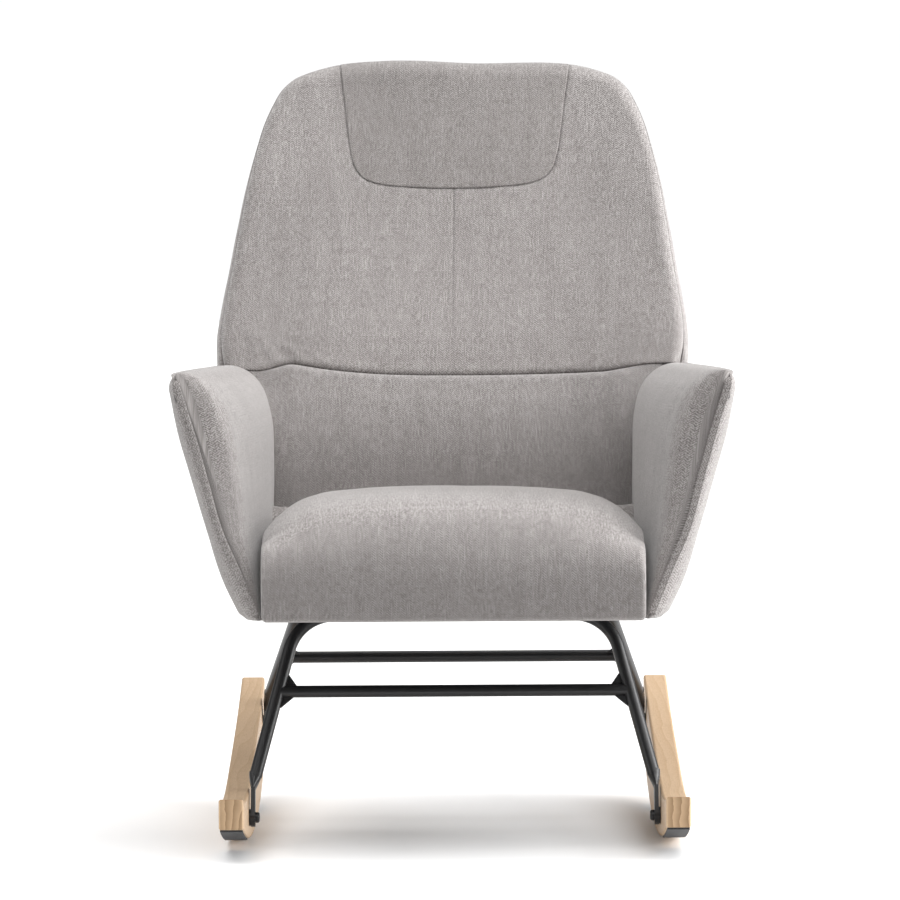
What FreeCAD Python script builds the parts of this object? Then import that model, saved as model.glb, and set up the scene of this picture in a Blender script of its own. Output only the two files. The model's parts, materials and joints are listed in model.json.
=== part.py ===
import FreeCAD, Part
import math
import os
from FreeCAD import Vector

os.makedirs("parts", exist_ok=True)

# Upholstered rocking chair. Millimetres, +Z up, the sitter faces -Y.
# The origin is on the floor, midway between the two rockers and midway
# between the front of the seat and the tails of the rockers.

# ---------------------------------------------------------------- rockers
ROCK_RADIUS = 1680.0          # radius of the rolling edge
ROLL_Y = 3.6                  # lowest line of the rolling edge, under the balance point
ROCK_FRONT_Y = -370.0         # front end face
ROCK_TAIL_Y = 420.0           # rear end face
ROCK_OUTER_X = 283.0          # outer face of each rocker
ROCK_WIDTH = 30.0             # board thickness
ROCK_INNER_X = ROCK_OUTER_X - ROCK_WIDTH
ROCK_TIP_TOP_Z = 78.5         # upper edge at the front end
ROCK_TAIL_TOP_Z = 162.0       # upper edge at the rear end
TAIL_START_Y = 300.0          # where the rolling edge turns up into the tail
TAIL_RADIUS = 220.0
ROCK_EDGE_ROUND = 3.0
TAIL_CORNER_ROUND = 12.0
STRIP_THICK = 2.2             # rubber anti-slip strip
STRIP_WIDTH = 27.0
FRONT_STRIP_Y = (-367.0, -215.0)
REAR_STRIP_Y = (205.0, 297.0)

# ---------------------------------------------------------------- steel base
TUBE_R = 8.0                  # 16 mm tube
TUBE_WALL = 1.6
NECK_TOP_R = TUBE_R - 0.35     # the flattened end starts just inside the round tube
NECK_OVERLAP = 6.0
BEND_R = 58.0                 # centreline radius of the upper bends
TOP_BAR_Z = 279.0             # centreline height of both upper bars
FRONT_BOLT = (-190.0, 37.0)   # Y, Z of the front rocker bolt
REAR_BOLT = (342.0, 104.0)    # Y, Z of the rear rocker bolt
FRONT_BAR_Y = -100.0
REAR_BAR_Y = 100.0
SPACER_THICK = 2.4            # washer between flattened tube and wood
PAD_THICK = 5.2               # flattened tube end
PAD_WIDTH = 23.0
PAD_MID_X = ROCK_INNER_X - SPACER_THICK - PAD_THICK / 2.0
FRONT_PAD_LEN = 34.0          # flattened length above the bolt
REAR_PAD_LEN = 48.0
FRONT_LEG_LOW = (245.5, 52.0)  # X and in-plane height where the round tube starts
FRONT_LEG_TOP_X = 193.0
REAR_LEG_LOW = (241.5, 74.0)
REAR_LEG_TOP_X = 195.0
FRONT_STRETCHER_Z = 187.0
REAR_STRETCHER_Z = 202.0
GUSSET_LEG = 13.0
GUSSET_THICK = 3.0
BOLT_R = 4.0
BOLT_HEAD_R = 6.6
BOLT_HEAD_H = 5.5
INSERT_R = 6.0
INSERT_LEN = 18.0
MOUNT_X = 120.0               # mounting bars under the seat
MOUNT_WIDTH = 32.0
MOUNT_THICK = 4.0
MOUNT_HALF_LEN = 128.0
SEAT_BOLT_Y = 62.0

# ---------------------------------------------------------------- seat
SEAT_BASE_Z = TOP_BAR_Z + TUBE_R + MOUNT_THICK
DUST_THICK = 0.8
RAIL_LOW_Z = SEAT_BASE_Z + 1.0
RAIL_HIGH_Z = 337.0
RAIL_THICK = 20.0
RAIL_OUTER_X = 225.0
FRONT_RAIL_Y = -375.0
BEARER_WIDTH = 62.0
BEARER_THICK = 20.0
SPRING_WIRE_R = 1.7
SPRING_STEP = 21.0
SPRING_SWAY = 20.0
SPRING_COUNT = 5
SPRING_GAP_X = 82.0
SEAT_FRONT_Y = -420.0
SEAT_HALF_X = 226.0
SEAT_CROWN_Z = 442.0
SEAT_REAR_Z = 420.0
SEAT_SIDE_ROUND = 34.0
CUSHION_LOW_Z = 346.0

# ---------------------------------------------------------------- back
BACK_LEAN = math.radians(22.0)
WAIST_Y = 150.0               # front face of the back at the waist seam
WAIST_Z = 570.0
BACK_TOP_W = 446.0            # height up the slope from the waist to the top
BACK_CORNER_R = 110.0
BACK_CORNER_X = 145.0
BACK_TAPER = math.radians(11.25)
BACK_HIP_W = 95.0             # widest line
BACK_WAIST_HALF = 300.0
BACK_BASE_HALF = 252.0
BACK_BASE_W = -281.0
BACK_LOW_W = -278.0
CUSHION_DEPTH = 52.0          # thickness of the front padding
FRAME_FRONT_N = -54.5
FRAME_BACK_N = -75.0
PANEL_FRONT_N = -78.3
PANEL_BACK_N = -90.0
BAND_THICK = 12.0
FACE_INSET = 9.0              # seam line inside the outer edge of the back
CLEAR = 0.3
STILE_WIDTH = 42.0
STRAP_WIDTH = 50.0
HEAD_LOW_W = 257.0
HEAD_HALF_TOP = 152.0
HEAD_HALF_LOW = 134.0
HEAD_CORNER_R = 34.0
HEAD_DEPTH = 26.0
HEAD_RAISE = 3.0
HEAD_OVERRUN = 60.0            # the headrest prism runs past the top before it is trimmed
HEAD_PROUD = 40.0              # and past the face
LUMBAR_HALF_X = 221.0
LUMBAR_BULGE = 22.0
CORNER_SHARE = 0.45           # of the shorter run, at most, taken by a bend
ARM_PIPE_OUT = 2.0
ARM_PIPE_BEND = 400.0
HIP_BEND = 120.0
PIPE_LOW_W = 34.0
PIPING_R = 3.6

# ---------------------------------------------------------------- arms
ARM_PLY = 12.0
ARM_SKIN = 8.0
PLY_FRONT_Y = -350.0
PLY_LOW_Z = 298.0
PLY_HIGH_Z = 552.0


def mirror_x(shape):
    return shape.mirror(Vector(0, 0, 0), Vector(1, 0, 0))


def both_sides(shape):
    return [shape, mirror_x(shape)]


def save(name, shapes):
    """Write one part file; several solids in it are repeated hardware."""
    solids = []
    for shape in shapes:
        for solid in shape.Solids:
            solids.append(solid)
    if not solids:
        raise ValueError("no solid in " + name)
    for solid in solids:
        if not solid.isValid():
            print("INVALID", name)
    body = solids[0] if len(solids) == 1 else Part.makeCompound(solids)
    body.exportStep("parts/" + name + ".step")
    box = body.optimalBoundingBox(False)
    print("%-26s n=%2d vol=%9.1f  x %.1f %.1f  y %.1f %.1f  z %.1f %.1f" % (
        name, len(solids), body.Volume / 1000.0, box.XMin, box.XMax,
        box.YMin, box.YMax, box.ZMin, box.ZMax))


def box(x0, x1, y0, y1, z0, z1):
    return Part.makeBox(x1 - x0, y1 - y0, z1 - z0, Vector(x0, y0, z0))


def rod(start, end, radius):
    axis = end.sub(start)
    return Part.makeCylinder(radius, axis.Length, start, axis)


def spline(points):
    curve = Part.BSplineCurve()
    curve.interpolate(points)
    return curve.toShape()


def swept_rod(edges, radius):
    """Round bar along a smooth run of edges."""
    path = Part.Wire(edges)
    first = path.OrderedEdges[0]
    start = first.valueAt(first.FirstParameter)
    along = first.tangentAt(first.FirstParameter)
    if path.OrderedVertexes[0].Point.distanceToPoint(start) > 0.01:
        start = first.valueAt(first.LastParameter)
        along = first.tangentAt(first.LastParameter)
    disc = Part.Face(Part.Wire([Part.makeCircle(radius, start, along)]))
    return path.makePipe(disc)


def tangent_run(points, radii):
    """Straight runs through the points, each corner rounded by a tangent arc."""
    edges = []
    last = points[0]
    for before, corner, after, radius in zip(points[:-2], points[1:-1], points[2:], radii):
        back = before - corner
        ahead = after - corner
        room = CORNER_SHARE * min(back.Length, ahead.Length)
        half = back.getAngle(ahead) / 2.0
        back.normalize()
        ahead.normalize()
        off = min(radius / math.tan(half), room)
        bulge = off / math.cos(half) - off * math.tan(half)
        middle = back + ahead
        middle.normalize()
        start = corner + back * off
        end = corner + ahead * off
        edges.append(Part.makeLine(last, start))
        edges.append(Part.Arc(start, corner + middle * bulge, end).toShape())
        last = end
    edges.append(Part.makeLine(last, points[-1]))
    return edges


# ================================================================ rockers
def roll_z(y, drop=0.0):
    """Height of the rolling edge at y, or of a line a little below it."""
    outer = ROCK_RADIUS + drop
    return ROCK_RADIUS - math.sqrt(outer * outer - (y - ROLL_Y) ** 2)


def rocker():
    lean = math.asin((TAIL_START_Y - ROLL_Y) / ROCK_RADIUS)
    tail_in = Vector(0, TAIL_START_Y, roll_z(TAIL_START_Y))
    centre_y = TAIL_START_Y - TAIL_RADIUS * math.sin(lean)
    centre_z = tail_in.z + TAIL_RADIUS * math.cos(lean)

    def tail_point(y):
        drop = math.sqrt(TAIL_RADIUS ** 2 - (y - centre_y) ** 2)
        return Vector(0, y, centre_z - drop)

    tip_low = Vector(0, ROCK_FRONT_Y, roll_z(ROCK_FRONT_Y))
    tip_top = Vector(0, ROCK_FRONT_Y, ROCK_TIP_TOP_Z)
    middle = Vector(0, ROLL_Y, 0)
    tail_mid_y = 0.5 * (TAIL_START_Y + ROCK_TAIL_Y)
    tail_low = tail_point(ROCK_TAIL_Y)
    tail_top = Vector(0, ROCK_TAIL_Y, ROCK_TAIL_TOP_Z)
    upper = spline([
        tail_top,
        Vector(0, 230, 125),
        Vector(0, -30, 87.5),
        Vector(0, -240, 67),
        tip_top,
    ])
    edges = [
        Part.Arc(tip_low, middle, tail_in).toShape(),
        Part.Arc(tail_in, tail_point(tail_mid_y), tail_low).toShape(),
        Part.makeLine(tail_low, tail_top),
        upper,
        Part.makeLine(tip_top, tip_low),
    ]
    board = Part.Face(Part.Wire(edges)).extrude(Vector(ROCK_WIDTH, 0, 0))
    corners = []
    for edge in board.Edges:
        mid = edge.CenterOfMass
        flat = edge.BoundBox.YLength < 0.1 and edge.BoundBox.ZLength < 0.1
        if flat and mid.y > ROCK_TAIL_Y - 1.0:
            corners.append(edge)
    board = board.makeFillet(TAIL_CORNER_ROUND, corners)
    rims = []
    for edge in board.Edges:
        if edge.BoundBox.XLength < 0.1:
            rims.append(edge)
    board = board.makeFillet(ROCK_EDGE_ROUND, rims)
    board.translate(Vector(ROCK_INNER_X, 0, 0))
    for y, z in (FRONT_BOLT, REAR_BOLT):
        hole_end = ROCK_INNER_X + INSERT_LEN + 4.0
        board = board.cut(rod(Vector(ROCK_INNER_X - 1, y, z), Vector(hole_end, y, z), INSERT_R))
    return board


def strip(y_range):
    """Rubber strip that follows the rolling edge from one y to the other."""
    y0, y1 = y_range
    ym = 0.5 * (y0 + y1)
    gap = 0.05
    drop = STRIP_THICK + gap
    top = [Vector(0, y, roll_z(y, gap)) for y in (y0, ym, y1)]
    low = [Vector(0, y, roll_z(y, drop)) for y in (y1, ym, y0)]
    edges = [
        Part.Arc(top[0], top[1], top[2]).toShape(),
        Part.makeLine(top[2], low[0]),
        Part.Arc(low[0], low[1], low[2]).toShape(),
        Part.makeLine(low[2], top[0]),
    ]
    body = Part.Face(Part.Wire(edges)).extrude(Vector(STRIP_WIDTH, 0, 0))
    body.translate(Vector(ROCK_INNER_X + 0.5 * (ROCK_WIDTH - STRIP_WIDTH), 0, 0))
    return body


right_rocker = rocker()
save("right_rocker", [right_rocker])
save("left_rocker", [mirror_x(right_rocker)])
save("front_anti_slip_strips", both_sides(strip(FRONT_STRIP_Y)))
save("rear_anti_slip_strips", both_sides(strip(REAR_STRIP_Y)))


# ================================================================ steel base
class LegPlane:
    """Tilted plane of one bent-tube frame: x across, v up the slope."""

    def __init__(self, bolt, bar_y):
        self.y0, self.z0 = bolt
        run = bar_y - self.y0
        rise = TOP_BAR_Z - self.z0
        self.length = math.hypot(run, rise)
        self.dir_y = run / self.length
        self.dir_z = rise / self.length

    def at(self, x, v):
        return Vector(x, self.y0 + self.dir_y * v, self.z0 + self.dir_z * v)

    def up(self):
        return Vector(0, self.dir_y, self.dir_z)

    def v_of_z(self, z):
        return (z - self.z0) / self.dir_z


def frame_path(plane, low, top_x):
    """Centreline of the round tube: leg, bend, top bar, bend, leg."""
    low_x, low_v = low
    lean = math.atan2(low_x - top_x, plane.length - low_v)
    turn = math.pi / 2.0 - lean
    back_off = BEND_R * math.tan(turn / 2.0)
    leg_end = (top_x + back_off * math.sin(lean), plane.length - back_off * math.cos(lean))
    bar_end = (top_x - back_off, plane.length)
    centre = (bar_end[0], plane.length - BEND_R)
    half = turn / 2.0
    mid = (centre[0] + BEND_R * math.sin(half), centre[1] + BEND_R * math.cos(half))
    right = [
        Part.makeLine(plane.at(low_x, low_v), plane.at(*leg_end)),
        Part.Arc(plane.at(*leg_end), plane.at(*mid), plane.at(*bar_end)).toShape(),
    ]
    left = [
        Part.Arc(plane.at(-bar_end[0], bar_end[1]), plane.at(-mid[0], mid[1]),
                 plane.at(-leg_end[0], leg_end[1])).toShape(),
        Part.makeLine(plane.at(-leg_end[0], leg_end[1]), plane.at(-low_x, low_v)),
    ]
    bar = Part.makeLine(plane.at(*bar_end), plane.at(-bar_end[0], bar_end[1]))
    return right + [bar] + left


def oval(centre, across, along_x, normal):
    """Closed ellipse, long half-axis square to X unless it is a circle."""
    wide, thin = across
    if abs(wide - thin) < 0.01:
        wide = thin + 0.01
    curve = Part.Ellipse(centre + along_x * wide, centre + normal * thin, centre)
    return Part.Wire([curve.toShape()])


def flat_end(plane, low, pad_len):
    """Squashed and drilled lower end of a leg, right side."""
    low_x, low_v = low
    side = Vector(0, -plane.dir_z, plane.dir_y)
    out = Vector(1, 0, 0)
    start = plane.at(low_x, low_v)
    into_tube = plane.at(low_x, low_v + NECK_OVERLAP)
    rings = [
        oval(into_tube, (NECK_TOP_R, NECK_TOP_R), side, out),
        oval(start, (NECK_TOP_R, NECK_TOP_R), side, out),
        oval(plane.at(0.35 * PAD_MID_X + 0.65 * low_x, 0.35 * pad_len + 0.65 * low_v),
             (TUBE_R + 1.0, TUBE_R - 1.8), side, out),
        oval(plane.at(PAD_MID_X, pad_len), (PAD_WIDTH / 2.0, PAD_THICK / 2.0), side, out),
    ]
    neck = Part.makeLoft(rings, True, False)
    half = PAD_WIDTH / 2.0
    x_face = PAD_MID_X - PAD_THICK / 2.0
    corners = []
    for s, v in ((-half, 0.0), (half, 0.0), (half, pad_len + 2.0), (-half, pad_len + 2.0)):
        corners.append(plane.at(x_face, v) + side * s)
    plate = Part.Face(Part.makePolygon(corners + [corners[0]])).extrude(Vector(PAD_THICK, 0, 0))
    heel_start = plane.at(x_face, 0.0)
    heel = rod(heel_start, heel_start + Vector(PAD_THICK, 0, 0), half)
    body = neck.fuse([plate, heel])
    hole_start = plane.at(x_face - 2.0, 0.0)
    hole_end = plane.at(x_face + PAD_THICK + 2.0, 0.0)
    return body.cut(rod(hole_start, hole_end, BOLT_R + 0.3))


def leg_frame(plane, low, top_x, pad_len):
    path = frame_path(plane, low, top_x)
    outer = swept_rod(path, TUBE_R)
    bore = swept_rod(path, TUBE_R - TUBE_WALL)
    end = flat_end(plane, low, pad_len)
    body = outer.cut(bore).fuse([end, mirror_x(end)])
    return body.removeSplitter(), outer


front_plane = LegPlane(FRONT_BOLT, FRONT_BAR_Y)
rear_plane = LegPlane(REAR_BOLT, REAR_BAR_Y)
front_frame, front_solid = leg_frame(front_plane, FRONT_LEG_LOW, FRONT_LEG_TOP_X, FRONT_PAD_LEN)
rear_frame, rear_solid = leg_frame(rear_plane, REAR_LEG_LOW, REAR_LEG_TOP_X, REAR_PAD_LEN)
save("front_leg_frame", [front_frame])
save("rear_leg_frame", [rear_frame])


def leg_x(plane, low, top_x, v):
    low_x, low_v = low
    return low_x + (top_x - low_x) * (v - low_v) / (plane.length - low_v)


def stretcher(plane, low, top_x, height, solid_leg):
    v = plane.v_of_z(height)
    reach = leg_x(plane, low, top_x, v)
    start = plane.at(-reach, v)
    end = plane.at(reach, v)
    tube = rod(start, end, TUBE_R - 0.5).cut(rod(start, end, TUBE_R - TUBE_WALL))
    return tube.cut(solid_leg)


save("front_stretcher", [stretcher(front_plane, FRONT_LEG_LOW, FRONT_LEG_TOP_X,
                                   FRONT_STRETCHER_Z, front_solid)])
save("rear_stretcher", [stretcher(rear_plane, REAR_LEG_LOW, REAR_LEG_TOP_X,
                                  REAR_STRETCHER_Z, rear_solid)])


def gussets(plane, low, top_x, height, solid_leg):
    """Small triangular plates above and below the right end of a stretcher."""
    v = plane.v_of_z(height)
    thick = Vector(0, -plane.dir_z, plane.dir_y) * GUSSET_THICK
    made = []
    for sign in (1.0, -1.0):
        base_v = v + sign * (TUBE_R - 0.4)
        far_v = base_v + sign * GUSSET_LEG
        near_x = leg_x(plane, low, top_x, base_v)
        far_x = leg_x(plane, low, top_x, far_v)
        inner = near_x - TUBE_R - GUSSET_LEG
        pts = [plane.at(inner, base_v), plane.at(near_x, base_v), plane.at(far_x, far_v),
               plane.at(far_x - TUBE_R - 1.0, far_v)]
        pts = [p - thick * 0.5 for p in pts]
        web = Part.Face(Part.makePolygon(pts + [pts[0]])).extrude(thick)
        web = web.cut(solid_leg)
        bar = rod(plane.at(0, v), plane.at(near_x, v), TUBE_R - 0.45)
        made.append(web.cut(bar))
    return made


webs = []
for plane, low, top_x, height, solid_leg in (
        (front_plane, FRONT_LEG_LOW, FRONT_LEG_TOP_X, FRONT_STRETCHER_Z, front_solid),
        (rear_plane, REAR_LEG_LOW, REAR_LEG_TOP_X, REAR_STRETCHER_Z, rear_solid)):
    for web in gussets(plane, low, top_x, height, solid_leg):
        webs.extend(both_sides(web))
save("stretcher_gussets", webs)

mount_low_z = TOP_BAR_Z + TUBE_R
mount = box(MOUNT_X - MOUNT_WIDTH / 2, MOUNT_X + MOUNT_WIDTH / 2, -MOUNT_HALF_LEN, MOUNT_HALF_LEN,
            mount_low_z + 0.02, SEAT_BASE_Z)
seat_bolt_spots = [Vector(MOUNT_X, -SEAT_BOLT_Y, 0), Vector(MOUNT_X, SEAT_BOLT_Y, 0)]
for spot in seat_bolt_spots:
    mount = mount.cut(rod(spot + Vector(0, 0, mount_low_z - 1), spot + Vector(0, 0, SEAT_BASE_Z + 1),
                          3.3))
save("seat_mounting_bars", both_sides(mount))


def rocker_hardware(y, z):
    """Bolt, spacer washer and threaded insert of one rocker joint, right side."""
    pad_in = PAD_MID_X - PAD_THICK / 2.0
    head_start = Vector(pad_in - BOLT_HEAD_H, y, z)
    head = rod(head_start, Vector(pad_in - 0.02, y, z), BOLT_HEAD_R)
    dome = [e for e in head.Edges if e.CenterOfMass.x < pad_in - BOLT_HEAD_H + 0.1
            and e.Length > 2.0 * BOLT_HEAD_R * 3.0]
    head = head.makeFillet(2.6, dome)
    socket = Part.makeCylinder(2.5, 3.0, head_start, Vector(1, 0, 0))
    shank = rod(Vector(pad_in - 1.0, y, z), Vector(ROCK_INNER_X + INSERT_LEN - 2.0, y, z), BOLT_R - 0.1)
    bolt = head.cut(socket).fuse(shank)
    wash_start = Vector(PAD_MID_X + PAD_THICK / 2.0 + 0.02, y, z)
    wash_end = Vector(ROCK_INNER_X - 0.02, y, z)
    washer = rod(wash_start, wash_end, 10.5).cut(rod(wash_start, wash_end, BOLT_R + 0.3))
    ins_start = Vector(ROCK_INNER_X + 0.2, y, z)
    ins_end = Vector(ROCK_INNER_X + INSERT_LEN, y, z)
    insert = rod(ins_start, ins_end, INSERT_R - 0.05).cut(rod(ins_start, ins_end, BOLT_R))
    return bolt, washer, insert


bolts = []
washers = []
inserts = []
for y, z in (FRONT_BOLT, REAR_BOLT):
    bolt, washer, insert = rocker_hardware(y, z)
    bolts.extend(both_sides(bolt))
    washers.extend(both_sides(washer))
    inserts.extend(both_sides(insert))
save("rocker_bolts", bolts)
save("rocker_spacer_washers", washers)
save("rocker_threaded_inserts", inserts)


# ================================================================ back plane
LEAN_S = math.sin(BACK_LEAN)
LEAN_C = math.cos(BACK_LEAN)


def on_back(x, w, n):
    """Point x across, w up the slope from the waist seam, n out to the front."""
    return Vector(x, WAIST_Y + LEAN_S * w - LEAN_C * n, WAIST_Z + LEAN_C * w + LEAN_S * n)


BACK_NORMAL = Vector(0, -LEAN_C, LEAN_S)


def half_space_behind(n):
    """Large block filling everything behind depth n of the back plane."""
    reach = 900.0
    pts = [on_back(-reach, -reach, n), on_back(reach, -reach, n),
           on_back(reach, reach, n), on_back(-reach, reach, n)]
    return Part.Face(Part.makePolygon(pts + [pts[0]])).extrude(BACK_NORMAL * -reach)


def back_outline(inset, low_w, n):
    """Right half-outline points are mirrored to one closed wire."""
    radius = BACK_CORNER_R - inset
    cw = BACK_TOP_W - BACK_CORNER_R
    cx = BACK_CORNER_X
    cos_t = math.cos(BACK_TAPER)
    sin_t = math.sin(BACK_TAPER)
    side_top = (cx + radius * cos_t, cw + radius * sin_t)
    hip = (side_top[0] + (side_top[1] - BACK_HIP_W) * sin_t / cos_t, BACK_HIP_W)
    half = (math.pi / 2.0 + BACK_TAPER) / 2.0
    corner_mid = (cx + radius * math.cos(half), cw + radius * math.sin(half))
    corner_end = (cx, cw + radius)
    waist = (BACK_WAIST_HALF - inset, 0.0)
    if low_w >= 0.0:
        t = low_w / BACK_HIP_W
        lower = [(waist[0] + (hip[0] - waist[0]) * t, low_w)]
    else:
        t = low_w / BACK_BASE_W
        low_x = waist[0] + (BACK_BASE_HALF - inset - waist[0]) * t
        lower = [waist, (low_x, low_w)]

    def pt(p, side):
        return on_back(side * p[0], p[1], n)

    edges = []
    chain = [side_top, hip] + lower
    edges.append(Part.Arc(pt(corner_end, 1), pt(corner_mid, 1), pt(side_top, 1)).toShape())
    for a, b in zip(chain[:-1], chain[1:]):
        edges.append(Part.makeLine(pt(a, 1), pt(b, 1)))
    edges.append(Part.makeLine(pt(chain[-1], 1), pt(chain[-1], -1)))
    for a, b in zip(reversed(chain[1:]), reversed(chain[:-1])):
        edges.append(Part.makeLine(pt(a, -1), pt(b, -1)))
    edges.append(Part.Arc(pt(side_top, -1), pt(corner_mid, -1), pt(corner_end, -1)).toShape())
    edges.append(Part.makeLine(pt(corner_end, -1), pt(corner_end, 1)))
    return Part.Wire(edges)


def back_slab(inset, low_w, n_front, n_back):
    face = Part.Face(back_outline(inset, low_w, n_front))
    return face.extrude(BACK_NORMAL * (n_back - n_front))


def back_block(x0, x1, w0, w1, n0, n1):
    pts = [on_back(x0, w0, n0), on_back(x1, w0, n0), on_back(x1, w1, n0), on_back(x0, w1, n0)]
    return Part.Face(Part.makePolygon(pts + [pts[0]])).extrude(BACK_NORMAL * (n1 - n0))


def trim_base(shape):
    """Cut level with the underside of the seat."""
    return shape.cut(box(-400, 400, -500, 500, 150, SEAT_BASE_Z + 0.5))


def rim_edges(shape, n):
    """Edges lying in the plane at depth n of the back."""
    found = []
    for edge in shape.Edges:
        ok = True
        for vert in edge.Vertexes:
            gap = vert.Point.sub(on_back(0, 0, n)).dot(BACK_NORMAL)
            if abs(gap) > 0.05:
                ok = False
        if ok:
            found.append(edge)
    return found


# upper cushion with a pocket for the headrest pad
upper = back_slab(FACE_INSET, CLEAR * 5, 0.0, -CUSHION_DEPTH)
upper = upper.makeFillet(20.0, rim_edges(upper, 0.0))


def headrest(grow, n_front, n_back):
    top_w = BACK_TOP_W + HEAD_OVERRUN
    low_w = HEAD_LOW_W - grow
    r = HEAD_CORNER_R + grow
    slope = (HEAD_HALF_TOP - HEAD_HALF_LOW) / (BACK_TOP_W - HEAD_LOW_W)
    top_x = HEAD_HALF_TOP + slope * HEAD_OVERRUN + grow
    low_x = HEAD_HALF_LOW + grow
    pts = [on_back(s * x, w, n_front) for s, x, w in
           ((-1, top_x, top_w), (-1, low_x, low_w), (1, low_x, low_w), (1, top_x, top_w))]
    prism = Part.Face(Part.makePolygon(pts + [pts[0]])).extrude(BACK_NORMAL * (n_back - n_front))
    corners = []
    for edge in prism.Edges:
        a = edge.Vertexes[0].Point
        b = edge.Vertexes[-1].Point
        low_a = abs(a.sub(on_back(a.x, low_w, n_front)).dot(on_back(0, 1, 0) - on_back(0, 0, 0))) < 0.1
        if low_a and abs(a.x - b.x) < 0.1:
            corners.append(edge)
    return prism.makeFillet(r, corners)


head = headrest(0.0, HEAD_RAISE + HEAD_PROUD, -HEAD_DEPTH)
pocket = headrest(CLEAR, HEAD_RAISE + HEAD_PROUD, -HEAD_DEPTH - CLEAR)
raised = back_slab(FACE_INSET, CLEAR * 5, HEAD_RAISE, -CUSHION_DEPTH)
raised = raised.makeFillet(20.0, rim_edges(raised, HEAD_RAISE))
headrest_pad = raised.common(head)
upper = upper.cut(pocket)
save("upper_back_cushion", [upper])
save("headrest_pad", [headrest_pad])

# lumbar cushion, a bulged block between the arms
LUMBAR_LOW_W = -158.0
lumbar_profile = [
    on_back(0, -CLEAR, -CUSHION_DEPTH),
    on_back(0, LUMBAR_LOW_W, -CUSHION_DEPTH),
    on_back(0, LUMBAR_LOW_W, 8.0),
]
bulge = spline([
    on_back(0, LUMBAR_LOW_W, 8.0),
    on_back(0, -105.0, LUMBAR_BULGE),
    on_back(0, -38.0, LUMBAR_BULGE - 3.0),
    on_back(0, -CLEAR, -6.0),
])
lumbar_wire = Part.Wire([
    bulge,
    Part.makeLine(on_back(0, -CLEAR, -6.0), lumbar_profile[0]),
    Part.makeLine(lumbar_profile[0], lumbar_profile[1]),
    Part.makeLine(lumbar_profile[1], lumbar_profile[2]),
])
lumbar = Part.Face(lumbar_wire).extrude(Vector(2 * LUMBAR_HALF_X, 0, 0))
lumbar.translate(Vector(-LUMBAR_HALF_X, 0, 0))
seat_roof_z = SEAT_REAR_Z + 4.0
lumbar = lumbar.cut(box(-400, 400, -500, 500, 100, seat_roof_z))
save("lumbar_cushion", [lumbar])

# rear panel, side band and piping
panel = back_slab(0.0, BACK_LOW_W, PANEL_FRONT_N, PANEL_BACK_N)
panel = panel.makeFillet(9.0, rim_edges(panel, PANEL_BACK_N))
save("rear_outer_panel", [trim_base(panel)])
band = back_slab(0.0, BACK_LOW_W, -CUSHION_DEPTH - CLEAR, PANEL_FRONT_N + CLEAR)
band = band.cut(back_slab(BAND_THICK, BACK_LOW_W - 20.0, -CUSHION_DEPTH + 1.0, PANEL_FRONT_N - 1.0))
save("back_side_band", [trim_base(band)])

# wooden back frame
FRAME_INSET = BAND_THICK + 1.0
TOP_RAIL_LOW_W = BACK_TOP_W - 62.0


def frame_layer(inset):
    return back_slab(inset, BACK_LOW_W, FRAME_FRONT_N, FRAME_BACK_N)


ring = frame_layer(FRAME_INSET).cut(back_slab(FRAME_INSET + STILE_WIDTH, BACK_LOW_W - 30.0,
                                              FRAME_FRONT_N + 1, FRAME_BACK_N - 1))
below = back_block(-400, 400, -400, TOP_RAIL_LOW_W - 0.1, FRAME_FRONT_N + 2, FRAME_BACK_N - 2)
above = back_block(-400, 400, TOP_RAIL_LOW_W, 600, FRAME_FRONT_N + 2, FRAME_BACK_N - 2)
stiles = ring.common(below)
top_rail = ring.common(above)
JOINT_X = 218.0
joint_spots = [(JOINT_X, -266.0), (JOINT_X, -246.0)]


def joint_hole(shape, radius):
    for x, w in joint_spots:
        for side in (-1, 1):
            shape = shape.cut(rod(on_back(side * x, w, -90.0), on_back(side * x, w, -20.0), radius))
    return shape


stiles = trim_base(joint_hole(stiles, 3.2))
for solid in stiles.Solids:
    side_name = "right" if solid.CenterOfMass.x > 0 else "left"
    save("back_stile_" + side_name, [solid])
save("back_top_rail", [top_rail])
WAIST_RAIL_HALF = BACK_WAIST_HALF - FRAME_INSET - STILE_WIDTH - 1.6
waist_rail = back_block(-WAIST_RAIL_HALF, WAIST_RAIL_HALF, -18.0, 18.0, FRAME_FRONT_N, FRAME_BACK_N)
save("back_waist_rail", [waist_rail.cut(Part.makeCompound(stiles.Solids))])

STRAP_HALF = BACK_WAIST_HALF - 30.0
STRAP_TAPER_W = 100.0
STRAP_TAPER = 0.17
straps = []
for w in (-110.0, -62.0, 75.0, 155.0, 235.0, 315.0):
    half = STRAP_HALF
    if w > STRAP_TAPER_W:
        half = STRAP_HALF - (w - STRAP_TAPER_W) * STRAP_TAPER
    if w < 0:
        half = STRAP_HALF + w * STRAP_TAPER
    low = w - STRAP_WIDTH / 2
    high = w + STRAP_WIDTH / 2 - 6.0
    straps.append(back_block(-half, half, low, high, FRAME_FRONT_N + 0.1, FRAME_FRONT_N + 1.7))
save("back_elastic_straps", straps)

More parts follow.
